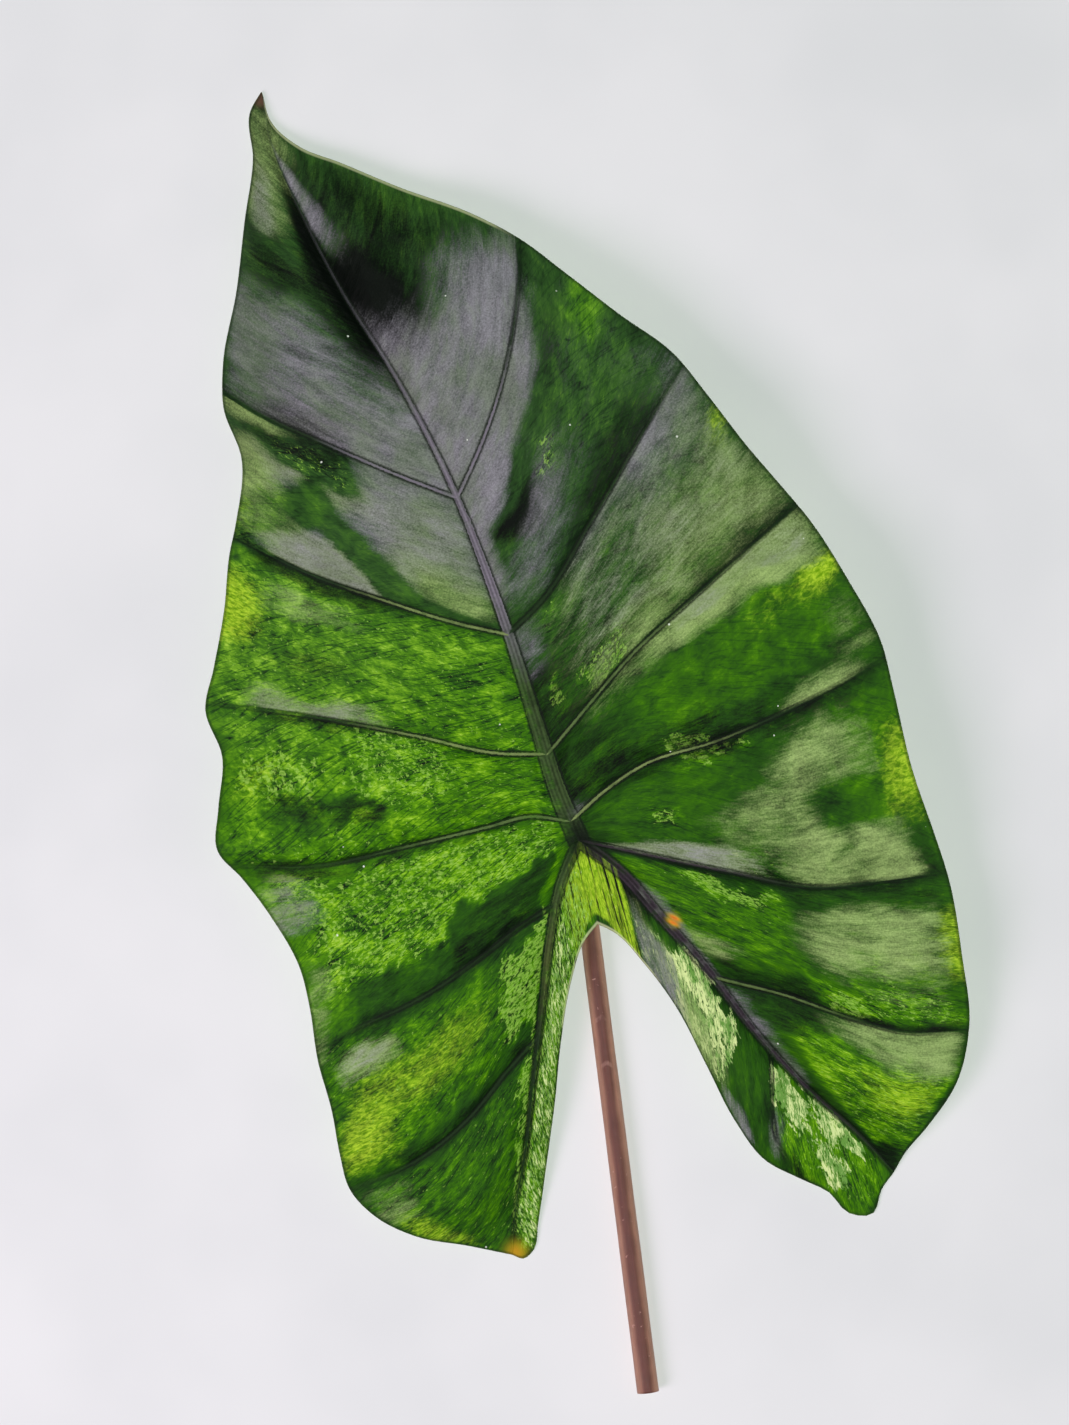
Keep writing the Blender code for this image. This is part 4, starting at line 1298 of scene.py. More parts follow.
@dataclass(frozen=True)
class LeafStalk:
    """The stalk: a round rod that lies on the floor and bends up to the hub's seat."""

    node: str = "leaf_stalk"
    slot: str = "stalk_brown"
    top_radius: float = 3.0
    cut_radius: float = 3.3
    reach: float = 167.0
    bend_reach: float = 60.0
    bend_power: float = 3.4
    direction: Pair = (-0.272, -0.962)
    seat_height: float = 15.15
    seat_gap: float = 0.05
    sides: int = 48
    rings: int = 230
    flare: float = 0.5
    flare_length: float = 9.0
    uneven: float = 0.012
    uneven_seed: int = 21
    uneven_lengths: Pair = (1.5, 4.0)
    uneven_stretch: Pair = (3.0, 14.0)
    ridges: int = 12
    cut_rings: int = 6
    cut_start: float = 0.8
    cut_hollow: float = 0.35
    seat_ring: float = 0.5

    def axis(self) -> tuple[np.ndarray, np.ndarray, np.ndarray, np.ndarray]:
        """Course of the stalk, ring by ring.

        The height is the radius where the stalk rests, plus the rise to the seat times
        (1 - reach / bend reach) to the bend's power.

        Returns:
            Reach from the hub, radius, height and slope of each ring.
        """
        reach = np.linspace(self.reach, 0.0, self.rings)
        radius = np.interp(reach, [0, self.reach], [self.top_radius, self.cut_radius])
        seat = self.seat_height - self.seat_gap
        lift = np.clip(1 - reach / self.bend_reach, 0, 1)
        height = radius + (seat - radius) * lift**self.bend_power
        slope = self.bend_power * (seat - radius) * lift ** (self.bend_power - 1) / self.bend_reach
        radius = radius + self.flare * np.exp(-reach / self.flare_length)
        return reach, radius, height, slope

    def sizes(self, angle: np.ndarray, reach: np.ndarray, radius: np.ndarray) -> np.ndarray:
        """How far each point lies from the axis.

        Args:
            angle: angle of each point of a ring.
            reach: reach from the hub of each ring.
            radius: radius of each ring.

        Returns:
            The ring's radius, less shallow ridges on the upper side and an unevenness.
        """
        spot = np.meshgrid(angle * self.uneven_stretch[0], reach / self.uneven_stretch[1])
        bumps = ripples(np.stack(spot, -1).reshape(-1, 2), self.uneven_seed, self.uneven_lengths)
        uneven = 1 + self.uneven * bumps.reshape(len(reach), -1)
        ridge = (0.5 + 0.5 * np.cos(self.ridges * angle))[None, :]
        ridged = 1 - self.uneven * ridge * np.maximum(np.sin(angle), 0)
        return (radius[:, None] * np.minimum(uneven, 1.0) * ridged)[..., None]

    def build(self) -> bpy.types.Object:
        """The stalk as one closed mesh: rings along its axis and a cap at each end.

        Each ring lies at right angles to the axis. The last one is carried along the axis
        until it lies level in the hub's seat.

        Returns:
            The object, with its points still in the leaf's own frame.
        """
        reach, radius, height, slope = self.axis()
        backward = np.array([*self.direction, 0.0]) / np.linalg.norm(self.direction)
        sideways = np.array([backward[1], -backward[0], 0.0])
        angle = 2 * np.pi * np.arange(self.sides) / self.sides
        tangent = np.stack(np.broadcast_arrays(-backward[0], -backward[1], slope), 1)
        tangent = tangent / np.linalg.norm(tangent, axis=1, keepdims=True)
        normal = np.cross(tangent, sideways)
        centre = backward * reach[:, None] + np.array([0.0, 0.0, 1.0]) * height[:, None]
        round_it = np.cos(angle)[None, :, None] * sideways + np.sin(angle)[None, :, None] * normal[:, None]
        points = centre[:, None] + self.sizes(angle, reach, radius) * round_it
        points[..., 2] = np.maximum(points[..., 2], 0.0)
        travel = (self.seat_height - self.seat_gap - points[-1, :, 2]) / tangent[-1, 2]
        points[-1] += travel[:, None] * tangent[-1]
        inner = np.linspace(self.cut_start, 0.0, self.cut_rings)[:, None, None]
        cut_middle, seat_middle = points[0].mean(axis=0), points[-1].mean(axis=0)
        cut = cut_middle + (points[0] - cut_middle) * inner - self.cut_hollow * (1 - inner**2) * backward
        seat = seat_middle + (points[-1] - seat_middle) * np.array([self.seat_ring, 0.0])[:, None, None]
        return self.closed_tube(np.vstack([cut[::-1], points, seat]), reach)

    def closed_tube(self, rows: np.ndarray, reach: np.ndarray) -> bpy.types.Object:
        """Mesh of rings that start and end in one point each.

        Args:
            rows: points, ring by ring.
            reach: distance from the hub of the rings between the two caps.

        Returns:
            The object, with flow coordinates: the share of the way round times 100, and
            the distance from the hub.
        """
        count, sides = rows.shape[:2]
        number = np.arange(count * sides).reshape(count, sides)
        number[0], number[-1] = number[0, 0], number[-1, 0]
        faces = lattice(np.hstack([number, number[:, :1]]))
        distance = np.concatenate([np.full(self.cut_rings, reach[0]), reach, np.zeros(2)])
        flow = np.stack(np.meshgrid(np.linspace(0, 100, sides + 1), distance), -1).reshape(-1, 2)
        flow = flow[lattice(np.arange(len(flow)).reshape(count, -1))]
        distinct = has_area(faces)
        cut = np.repeat([1.0, 0.0], [self.cut_rings * sides, (count - self.cut_rings) * sides])
        used, faces = np.unique(faces[distinct], return_inverse=True)
        points = rows.reshape(-1, 3)[used]
        return make_piece("taro_stalk", points, faces.reshape(-1, 3), flow[distinct], {"cut": cut[used]})


# Shader sums written as Python expressions


class Space(Enum):
    """Coordinates that a pattern lies in."""

    FLOW = "millimetres across the veins and out along them"
    PLACE = "metres in the leaf"


@dataclass(frozen=True)
class Grain:
    """Noise pattern: the size of its spots in its space, and how fine, rough and bent it is."""

    space: Space
    size: tuple[float, ...]
    detail: float = 2.0
    roughness: float = 0.5
    distortion: float = 0.0


class Wire:
    """A node's output that takes part in sums: each operator adds the Math node it names."""

    def __init__(self, tree: "ShaderTree", socket: bpy.types.NodeSocket) -> None:
        """Keeps the tree and the output socket."""
        self.tree = tree
        self.socket = socket

    def __add__(self, other: "Wire | float") -> "Wire":
        """Sum."""
        return self.tree.maths("ADD", self, other)

    __radd__ = __add__

    def __sub__(self, other: "Wire | float") -> "Wire":
        """Difference."""
        return self.tree.maths("SUBTRACT", self, other)

    def __rsub__(self, other: float) -> "Wire":
        """Difference from a number, such as 1 - mask."""
        return self.tree.maths("SUBTRACT", other, self)

    def __mul__(self, other: "Wire | float") -> "Wire":
        """Product."""
        return self.tree.maths("MULTIPLY", self, other)

    __rmul__ = __mul__

    def sway(self, weight: "Wire | float") -> "Wire":
        """How far it is from a half, times the weight."""
        return (self - 0.5) * weight

    def beside(self, output: str) -> "Wire":
        """Another output of the same node."""
        return Wire(self.tree, self.socket.node.outputs[output])


class ShaderTree:
    """Node tree of one material, built through a few methods. It makes no pattern twice."""

    def __init__(self, name: str) -> None:
        """Starts an empty material.

        Args:
            name: the material's name.
        """
        self.material = bpy.data.materials.new(name)
        self.material.use_nodes = True
        self.nodes = self.material.node_tree.nodes
        self.links = self.material.node_tree.links
        self.nodes.clear()
        self.kept: dict[str | Space | Grain, Wire] = {}

    def node(
        self, kind: str, settings: dict | None = None, sockets: dict | None = None,
        output: int | str = 0,
    ) -> Wire:
        """Any node.

        Args:
            kind: the node's type name.
            settings: its properties, set first. "stops" gives a ramp's stops.
            sockets: values or wires of its inputs, by name or number.
            output: name or number of the output that is handed back.

        Returns:
            A wire from that output.
        """
        made = self.nodes.new(kind)
        for name, value in (settings or {}).items():
            if name == "stops":
                self.set_stops(made.color_ramp, value)
            else:
                setattr(made, name, value)
        for name, value in (sockets or {}).items():
            if isinstance(value, Wire):
                self.links.new(value.socket, made.inputs[name])
            else:
                made.inputs[name].default_value = value
        return Wire(self, made.outputs[output])

    @staticmethod
    def set_stops(ramp: bpy.types.ColorRamp, stops: Stops) -> None:
        """Gives a ramp its stops.

        Args:
            ramp: the ramp of a node.
            stops: a place and a colour each.
        """
        while len(ramp.elements) < len(stops):
            ramp.elements.new(1.0)
        for element, (place, colour) in zip(ramp.elements, stops):
            element.position = place
            element.color = (*colour, 1.0)

    def ramp(self, stops: Stops, value: Wire) -> Wire:
        """Colour of a value between the stops."""
        return self.node("ShaderNodeValToRGB", {"stops": stops}, {"Fac": value})

    def maths(self, operation: str, first: Wire | float, second: Wire | float = 0.0) -> Wire:
        """One Math node."""
        return self.node("ShaderNodeMath", {"operation": operation}, {0: first, 1: second})

    def attribute(self, name: str, output: str = "Fac") -> Wire:
        """A mesh attribute of the piece.

        Args:
            name: the attribute's name.
            output: the output that holds it: "Vector" for a colour.

        Returns:
            A wire with its value.
        """
        if name not in self.kept:
            settings = {"attribute_type": "GEOMETRY", "attribute_name": name}
            self.kept[name] = self.node("ShaderNodeAttribute", settings, output=output)
        return self.kept[name]

    def tint(self, tint: Tint) -> Wire:
        """How strong a kind of marking or of painted light is."""
        return self.attribute(tint.value)

    def space(self, space: Space) -> Wire:
        """Coordinates that a pattern lies in.

        Args:
            space: which coordinates.

        Returns:
            A wire from the piece's flow map, or from its place in the leaf.
        """
        if space not in self.kept and space is Space.FLOW:
            self.kept[space] = self.node("ShaderNodeUVMap", {"uv_map": FLOW_MAP})
        elif space not in self.kept:
            self.kept[space] = self.node("ShaderNodeTexCoord", output="Object")
        return self.kept[space]

    def part(self, space: Space, axis: str) -> Wire:
        """One number of a space's coordinates."""
        return self.node("ShaderNodeSeparateXYZ", {}, {0: self.space(space)}, axis)

    def noise(self, grain: Grain, vector: Wire | None = None) -> Wire:
        """A pattern in its own space, or in the vector given.

        Args:
            grain: the pattern.
            vector: coordinates that take the place of the pattern's own.

        Returns:
            Noise about 0.5. The coordinates are divided by the size of the pattern's spots.
        """
        if vector is None and grain in self.kept:
            return self.kept[grain]
        source = self.space(grain.space) if vector is None else vector
        scale = tuple(1 / part for part in grain.size) + (0.0,) * (3 - len(grain.size))
        stretched = self.node("ShaderNodeVectorMath", {"operation": "MULTIPLY"}, {0: source, 1: scale})
        sockets = {"Vector": stretched, "Scale": 1.0, "Detail": grain.detail,
                   "Roughness": grain.roughness, "Distortion": grain.distortion}
        made = self.node("ShaderNodeTexNoise", {"noise_dimensions": "3D"}, sockets)
        if vector is None:
            self.kept[grain] = made
        return made

    def rise(self, value: Wire, low: Wire | float, high: Wire | float) -> Wire:
        """Soft step from 0 at low to 1 at high."""
        return self.node("ShaderNodeMapRange", {"interpolation_type": "SMOOTHSTEP"},
                         {"Value": value, "From Min": low, "From Max": high})

    def blend(self, factor: Wire | float, first: Wire | Colour, second: Wire | Colour) -> Wire:
        """Colour between two, or one colour over another by a mask.

        Args:
            factor: how much of the second colour shows, kept within 0 to 1.
            first: colour at 0.
            second: colour at 1.

        Returns:
            A wire with the colour.
        """
        parts = [part if isinstance(part, Wire) else (*part, 1.0) for part in (first, second)]
        settings = {"data_type": "RGBA", "clamp_factor": True}
        return self.node("ShaderNodeMix", settings, {0: factor, 6: parts[0], 7: parts[1]}, 2)

    def brighten(self, colour: Wire | Colour, amount: Wire) -> Wire:
        """The colour multiplied by a changing number."""
        return self.node("ShaderNodeVectorMath", {"operation": "SCALE"}, {0: colour, "Scale": amount})

    def bump(self, height: Wire, distance: float) -> Wire:
        """Normal bent by a height, in metres for each unit of height."""
        sockets = {"Height": height, "Distance": distance, "Strength": BUMP_STRENGTH}
        return self.node("ShaderNodeBump", {}, sockets)

    def close(self, sockets: dict) -> bpy.types.Material:
        """Ends the tree with one surface shader.

        Args:
            sockets: values or wires of the shader's inputs, by name.

        Returns:
            The finished material.
        """
        surface = self.node("ShaderNodeBsdfPrincipled", {}, sockets)
        output = self.nodes.new("ShaderNodeOutputMaterial")
        self.links.new(surface.socket, output.inputs["Surface"])
        return self.material


# Finishes


@dataclass(frozen=True)
class BladeFinish:
    """Waxy green skin: marbled markings, painted sheens and painted shade, dark ribs and a paler
    underside.

    Numbers in threes say what plain skin has and what full vivid and full lime add to it.
    """

    name: str = "blade_skin"
    greens: Stops = stops_of(
        (0.0, (5, 16, 5)), (0.18, (14, 42, 8)), (0.34, (34, 78, 10)), (0.5, (54, 108, 0)),
        (0.64, (80, 138, 0)), (0.8, (124, 178, 20)), (1.0, (178, 214, 84)),
    )
    cool_greens: Stops = stops_of(
        (0.0, (5, 14, 7)), (0.18, (16, 38, 14)), (0.34, (40, 74, 30)), (0.5, (62, 102, 38)),
        (0.64, (90, 132, 46)), (0.8, (124, 168, 66)), (1.0, (170, 206, 110)),
    )
    ripe_stops: Stops = stops_of(
        (0.0, (120, 150, 20)), (0.4, (200, 180, 30)), (0.7, (236, 150, 40)), (1.0, (226, 84, 44)),
    )
    glow_green: Colour = paint(116, 166, 0)
    glow_yellow: Colour = paint(184, 218, 54)
    fleck_green: Colour = paint(96, 154, 26)
    fleck_pale: Colour = paint(156, 200, 84)
    cream: Colour = paint(214, 230, 158)
    cream_green: Colour = paint(104, 152, 66)
    # painted shade colour, for hollows and slopes turned from the light
    shade_green: Colour = paint(3, 8, 4)
    # painted sheen colours: the light's reflection, grey-green and lavender-grey
    sage: Colour = paint(142, 166, 100)
    bloom: Colour = paint(128, 126, 134)
    green_sheen: Colour = paint(110, 116, 108)
    # painted shade in the creases beside the ribs, with the dark vein lines; it also darkens the hub
    crease: Colour = paint(12, 22, 12)
    rim_dark: Colour = paint(22, 36, 20)
    # painted highlight where the rim catches the light
    rim_highlight: Colour = paint(222, 226, 176)
    dry: Colour = paint(96, 70, 56)
    # tiny white specks on the skin
    white_speck: Colour = paint(232, 238, 228)
    under_green: Colour = paint(92, 122, 78)
    under_pale: Colour = paint(132, 156, 100)
    broad: Grain = Grain(Space.PLACE, (0.022,) * 3)
    cloud: Grain = Grain(Space.FLOW, (4.2, 8.0), 3.0, 0.6, 0.5)
    stroke: Grain = Grain(Space.FLOW, (0.62, 2.1), 4.0, 0.7, 0.5)
    grain: Grain = Grain(Space.FLOW, (0.42, 2.0), 3.0, 0.65, 0.3)
    marble: Grain = Grain(Space.FLOW, (1.5, 2.3), 4.0, 0.7, 0.5)
    stripe: Grain = Grain(Space.FLOW, (1.5, 26.0), 3.0, 0.6, 0.5)
    speck: Grain = Grain(Space.FLOW, (1.1, 1.6), 3.0, 0.7, 0.2)
    veinlet: Grain = Grain(Space.FLOW, (1.7, 20.0), 2.0, 0.5, 0.5)
    sheen_fibre: Grain = Grain(Space.FLOW, (0.5, 6.0), 4.0, 0.7, 0.4)
    drift: Grain = Grain(Space.FLOW, (5.0, 17.0), 3.0, 0.55, 0.8)
    sand: Grain = Grain(Space.PLACE, (0.00055,) * 3, 2.0, 0.6)
    rib_fibre: Grain = Grain(Space.PLACE, (0.0008,) * 3, 3.0)
    rib_patch: Grain = Grain(Space.PLACE, (0.004,) * 3)
    under_patch: Grain = Grain(Space.PLACE, (0.006,) * 3, 3.0)
    cell: Grain = Grain(Space.PLACE, (0.0007,) * 3)
    skin_fibre: Grain = Grain(Space.FLOW, (0.5, 3.0), 3.0)
    skin_wave: Grain = Grain(Space.FLOW, (2.2, 9.0))
    tone: Triple = (0.33, 0.25, 0.08)
    stroke_spread: Triple = (0.24, 0.14, 0.95)
    cloud_spread: Triple = (0.45, 0.3, 0.7)
    veinlet_depth: Triple = (0.06, 0.06, 0.26)
    veinlet_slant: float = 0.38
    fleck_levels: Pair = (0.85, 0.38)
    cream_levels: Pair = (0.84, 0.42)
    shade_span: Pair = (0.05, 0.85)
    sheen_span: Pair = (0.0, 1.2)
    sage_sheen_cover: float = 0.9
    lavender_sheen_cover: float = 0.94
    white_speck_cells: float = 260.0
    bump_depth: float = 0.00022
    gloss_level: float = 0.08

    def by_marking(self, tree: ShaderTree, parts: Triple) -> Wire:
        """What plain skin has, with what the vivid and lime markings add to it."""
        return parts[0] + parts[1] * tree.tint(Tint.VIVID) + parts[2] * tree.tint(Tint.LIME)

    def upward(self, tree: ShaderTree) -> Wire:
        """0 on the half towards the lobes, 1 on the half towards the tip."""
        return tree.rise(tree.part(Space.PLACE, "Y"), -0.02, 0.07)

    def stripes(self, tree: ShaderTree) -> Wire:
        """Dark stripes that run from the hub to the sinus."""
        return tree.tint(Tint.STRIPED) * tree.rise(tree.noise(self.stripe), 0.46, 0.64)

    def veinlets(self, tree: ShaderTree) -> Wire:
        """Veinlets that slant away from the side veins.

        Args:
            tree: the material's tree.

        Returns:
            1 where a long slanted noise passes its middle, 0 away from there.
        """
        over, out = (tree.part(Space.FLOW, axis) for axis in "XY")
        sockets = {0: over - self.veinlet_slant * out, 1: out}
        slanted = tree.node("ShaderNodeCombineXYZ", {}, sockets)
        long_noise = tree.noise(self.veinlet, slanted)
        return 1 - tree.rise(tree.maths("ABSOLUTE", long_noise - 0.5), 0.0, 0.035)

    def crumbled(self, tree: ShaderTree, pattern: Wire, tint: Tint, levels: Pair) -> Wire:
        """Islands of a pattern with crisp edges: the stronger the marking, the more they join.

        Args:
            tree: the material's tree.
            pattern: noise whose peaks are the islands.
            tint: the marking.
            levels: height of a peak that shows without the marking, and what the full one takes off.

        Returns:
            1 on an island, 0 beside it.
        """
        mask = tree.tint(tint)
        level = levels[0] - levels[1] * mask
        return tree.rise(pattern, level - 0.05, level + 0.05) * tree.rise(mask, 0.02, 0.12)

    def veil(self, tree: ShaderTree, tint: Tint, uneven: Wire, span: Pair) -> Wire:
        """How much of a sheen or shade covers the green: its edge frays along the fibres."""
        mask = tree.tint(tint)
        return tree.rise(mask + uneven, *span) * tree.rise(mask, 0.02, 0.25)

    def green(self, tree: ShaderTree, veinlets: Wire) -> Wire:
        """The marbled green: one tone through two ramps, the cooler one towards the tip.

        The tone grows with the vivid and lime markings, and noise along the veins spreads it
        wider where they are strong. Painted shade darkens it beside the ribs. The glow, which is
        partly painted light shining through the blade, lies over it.

        Args:
            tree: the material's tree.
            veinlets: where the veinlets lie.

        Returns:
            The colour.
        """
        cloud, stroke, stripes = tree.noise(self.cloud), tree.noise(self.stroke), self.stripes(tree)
        tone = self.by_marking(tree, self.tone) + tree.noise(self.broad).sway(0.3)
        tone = tone + stroke.sway(self.by_marking(tree, self.stroke_spread))
        tone = tone + cloud.sway(self.by_marking(tree, self.cloud_spread))
        tone = tone - veinlets * self.by_marking(tree, self.veinlet_depth) - 0.4 * stripes
        # painted shade in the valleys beside the ribs
        valley_shade = 1 - tree.rise(tree.attribute("rib_gap"), 0.4, 4.0)
        tone = tone - valley_shade * (0.04 + 0.12 * cloud)
        warm, cool = tree.ramp(self.greens, tone), tree.ramp(self.cool_greens, tone)
        cooled = self.upward(tree) * (1 - 0.7 * tree.tint(Tint.VIVID))
        # the glow: yellow-green pigment, partly painted light shining through the blade
        glow_colour = tree.blend(tree.rise(stroke, 0.35, 0.65), self.glow_green, self.glow_yellow)
        glow = tree.rise(tree.tint(Tint.GLOW) + stroke.sway(0.9) + cloud.sway(0.6), 0.1, 1.0)
        return tree.blend(glow * (0.9 - 0.9 * stripes), tree.blend(cooled, warm, cool), glow_colour)

    def flecked(self, tree: ShaderTree, colour: Wire) -> Wire:
        """Pale flecks and cream areas.

        Args:
            tree: the material's tree.
            colour: colour below them.

        Returns:
            The colour with them.
        """
        cloud, marble = tree.noise(self.cloud), tree.noise(self.marble)
        pale = tree.rise(tree.noise(self.grain), 0.35, 0.6)
        fleck_colour = tree.blend(pale, self.fleck_green, self.fleck_pale)
        specks = tree.noise(self.speck) + marble.sway(0.5)
        fleck = self.crumbled(tree, specks, Tint.LIME, self.fleck_levels)
        colour = tree.blend(fleck * 0.75, colour, fleck_colour)
        pale = tree.rise(tree.noise(self.stroke) + cloud.sway(1.1), 0.4, 0.62)
        cream_colour = tree.blend(pale, self.cream_green, self.cream)
        cream = self.crumbled(tree, marble, Tint.CREAM, self.cream_levels)
        return tree.blend(cream, colour, cream_colour)

    def skin(self, tree: ShaderTree) -> Wire:
        """Colour of the upper side between its ribs: painted shade and painted grey sheens over the
        greens.

        Args:
            tree: the material's tree.

        Returns:
            The colour. Fibres, drifts and grains fray a sheen's edge and make it uneven.
        """
        veinlets, upward = self.veinlets(tree), self.upward(tree)
        cloud, fibre = tree.noise(self.cloud), tree.noise(self.sheen_fibre)
        drift, sand = tree.noise(self.drift), tree.noise(self.sand)
        uneven = sand.sway(0.5) + (fibre.sway(1.0) + drift.sway(1.5)) * (1 - 0.45 * upward)
        light = 1.06 + (0.8 - 0.3 * upward) * (fibre - 0.5) + drift.sway(0.6) + sand.sway(1.2)
        light = light + cloud.sway(0.7) - 0.14 * veinlets
        colour = self.flecked(tree, self.green(tree, veinlets))
        # painted shade over the green
        shade_cover = self.veil(tree, Tint.SHADE, uneven, self.shade_span)
        colour = tree.blend(shade_cover, colour, self.shade_green)
        # painted sheens: the light's reflection laid over the green, grey-green and then lavender-grey
        sage, bloom = (self.veil(tree, tint, uneven, self.sheen_span) for tint in (Tint.SAGE, Tint.BLOOM))
        colour = tree.blend(self.sage_sheen_cover * sage, colour, tree.brighten(self.sage, light))
        greener = tree.rise(tree.noise(self.broad) + 0.5 * cloud, 0.6, 0.9)
        lavender_sheen_colour = tree.brighten(tree.blend(greener, self.bloom, self.green_sheen), light)
        return tree.blend(self.lavender_sheen_cover * bloom, colour, lavender_sheen_colour)

    def ribbed(self, tree: ShaderTree, colour: Wire, side: Wire) -> Wire:
        """Dark vein colour with painted shade in the crease beside each rib, the rib's ridge, and a darker
        hub.

        Args:
            tree: the material's tree.
            colour: colour below them.
            side: millimetres from the rib's side, made uneven.

        Returns:
            The colour with them.
        """
        fibre, clear = tree.noise(self.rib_fibre), tree.attribute("rib_clear")
        groove = tree.maths("COSINE", tree.attribute("rib_gap") * 5.4)
        ridge_light = 0.5 + 0.9 * fibre + 0.28 * groove
        ridge_colour = tree.brighten(tree.attribute("rib_tone", "Vector"), ridge_light)
        # painted shade in the crease beside each rib, together with the dark vein line
        crease = tree.rise(side, -0.35, 0.0) * (1 - tree.rise(side, 0.15, 0.8))
        colour = tree.blend(crease * clear * (0.6 + 0.5 * fibre), colour, self.crease)
        patchy = tree.rise(tree.noise(self.rib_patch), 0.3, 0.55)
        ridge = (1 - tree.rise(side, -0.3, -0.05)) * clear * (0.5 + 0.45 * patchy)
        colour = tree.blend(ridge, colour, ridge_colour)
        hub = 1 - tree.rise(tree.attribute("hub_gap") + fibre.sway(3.0), 1.0, 7.0)
        return tree.blend(hub * 0.75, colour, self.crease)

    def aged(self, tree: ShaderTree, colour: Wire) -> Wire:
        """Orange spots, the brown drip tip, tiny white specks, and the rim with its painted highlight.

        Args:
            tree: the material's tree.
            colour: colour below them.

        Returns:
            The colour with them.
        """
        ripe = tree.attribute("ripe")
        colour = tree.blend(tree.rise(ripe, 0.08, 0.8) * 0.9, colour, tree.ramp(self.ripe_stops, ripe))
        colour = tree.blend(tree.rise(tree.attribute("dry"), 0.25, 0.75) * 0.9, colour, self.dry)
        sockets = {"Vector": tree.space(Space.PLACE), "Scale": self.white_speck_cells}
        cells = tree.node("ShaderNodeTexVoronoi", {}, sockets)
        speck = (1 - tree.rise(cells, 0.06, 0.1)) * tree.rise(cells.beside("Color"), 0.86, 0.87)
        colour = tree.blend(speck * 0.85, colour, self.white_speck)
        # the rim: a dark edge line, turned into a painted highlight where the lit rim lies
        rim = 1 - tree.rise(tree.attribute("rim_gap"), 0.35, 1.0)
        rim_colour = tree.blend(tree.tint(Tint.LIT_RIM), self.rim_dark, self.rim_highlight)
        return tree.blend(rim * 0.5, colour, rim_colour)

    def underside(self, tree: ShaderTree, side: Wire) -> Wire:
        """Duller green below, paler on the ribs.

        Args:
            tree: the material's tree.
            side: millimetres from the rib's side, made uneven.

        Returns:
            The colour.
        """
        patchy = tree.rise(tree.noise(self.under_patch), 0.35, 0.65)
        under = tree.blend(patchy, self.under_green, self.under_pale)
        return tree.blend((1 - tree.rise(side, -0.3, 0.3)) * 0.6, under, self.under_pale)

    def material(self) -> bpy.types.Material:
        """The whole finish.

        Returns:
            The material.
        """
        tree = ShaderTree(self.name)
        upper, cells = tree.attribute("upper"), tree.noise(self.cell)
        side = tree.attribute("rib_side") + tree.noise(self.rib_fibre).sway(0.8)
        colour = self.aged(tree, self.ribbed(tree, self.skin(tree), side))
        height = 0.3 * cells + 0.8 * tree.noise(self.skin_fibre) + 1.6 * tree.noise(self.skin_wave)
        return tree.close({
            "Base Color": tree.blend(upper, self.underside(tree, side), colour),
            "Roughness": 0.46 + 0.16 * cells + 0.1 * (1 - upper),
            "Normal": tree.bump(height, self.bump_depth),
            "Specular IOR Level": self.gloss_level,
        })


@dataclass(frozen=True)
class StalkFinish:
    """Brown stalk: a dark stripe down its upper side, fine striae, scars and a pale cut end.

    The flow map's first number goes from 0 to 100 round the stalk, with the upper side at 25,
    and its second is the distance from the hub in millimetres.
    """

    name: str = "stalk_skin"
    stripe: Colour = paint(96, 52, 42)
    side: Colour = paint(164, 118, 98)
    scar: Colour = paint(196, 150, 138)
    pith: Colour = paint(150, 142, 96)
    top: float = 25.0
    scar_reaches: Pair = (53.6, 67.4)
    wobble: Grain = Grain(Space.FLOW, (60.0, 14.0))
    stria: Grain = Grain(Space.FLOW, (1.4, 16.0), 3.0, 0.6)
    blotch: Grain = Grain(Space.FLOW, (26.0, 7.0), 3.0, 0.6)
    fleck: Grain = Grain(Space.FLOW, (9.0, 1.6), 2.0, 0.5, 0.6)
    cell: Grain = Grain(Space.PLACE, (0.0006,) * 3)
    bump_depth: float = 0.00025

    def scarred(self, tree: ShaderTree, colour: Wire, from_top: Wire) -> Wire:
        """Pale flecks, and faint rings that bend back from the top.

        Args:
            tree: the material's tree.
            colour: colour below them.
            from_top: how far round from the upper side.

        Returns:
            The colour with them.
        """
        striae, blotch = tree.noise(self.stria), tree.noise(self.blotch)
        flecks = tree.rise(tree.noise(self.fleck), 0.68, 0.74)
        colour = tree.blend(flecks * 0.6, colour, self.scar)
        reach = tree.part(Space.FLOW, "Y")
        for scar_reach in self.scar_reaches:
            bent = tree.maths("ABSOLUTE", reach - scar_reach - 0.12 * from_top + striae.sway(0.8))
            mark = (1 - tree.rise(bent, 0.3, 1.0)) * (1 - tree.rise(from_top, 6.0, 11.0))
            colour = tree.blend(mark * tree.rise(blotch, 0.35, 0.6) * 0.4, colour, self.scar)
        return colour

    def material(self) -> bpy.types.Material:
        """The whole finish.

        Returns:
            The material.
        """
        tree = ShaderTree(self.name)
        striae, blotch = tree.noise(self.stria), tree.noise(self.blotch)
        across = tree.part(Space.FLOW, "X")
        from_top = tree.maths("ABSOLUTE", across - self.top + tree.noise(self.wobble).sway(8.0))
        colour = tree.blend(1 - tree.rise(from_top, 3.5, 14.5), self.side, self.stripe)
        colour = tree.brighten(colour, 0.28 + 0.9 * striae + 0.6 * blotch)
        colour = self.scarred(tree, colour, from_top)
        return tree.close({
            "Base Color": tree.blend(tree.attribute("cut"), colour, self.pith),
            "Roughness": 0.36 + 0.2 * striae,
            "Normal": tree.bump(striae + 0.4 * tree.noise(self.cell), self.bump_depth),
        })


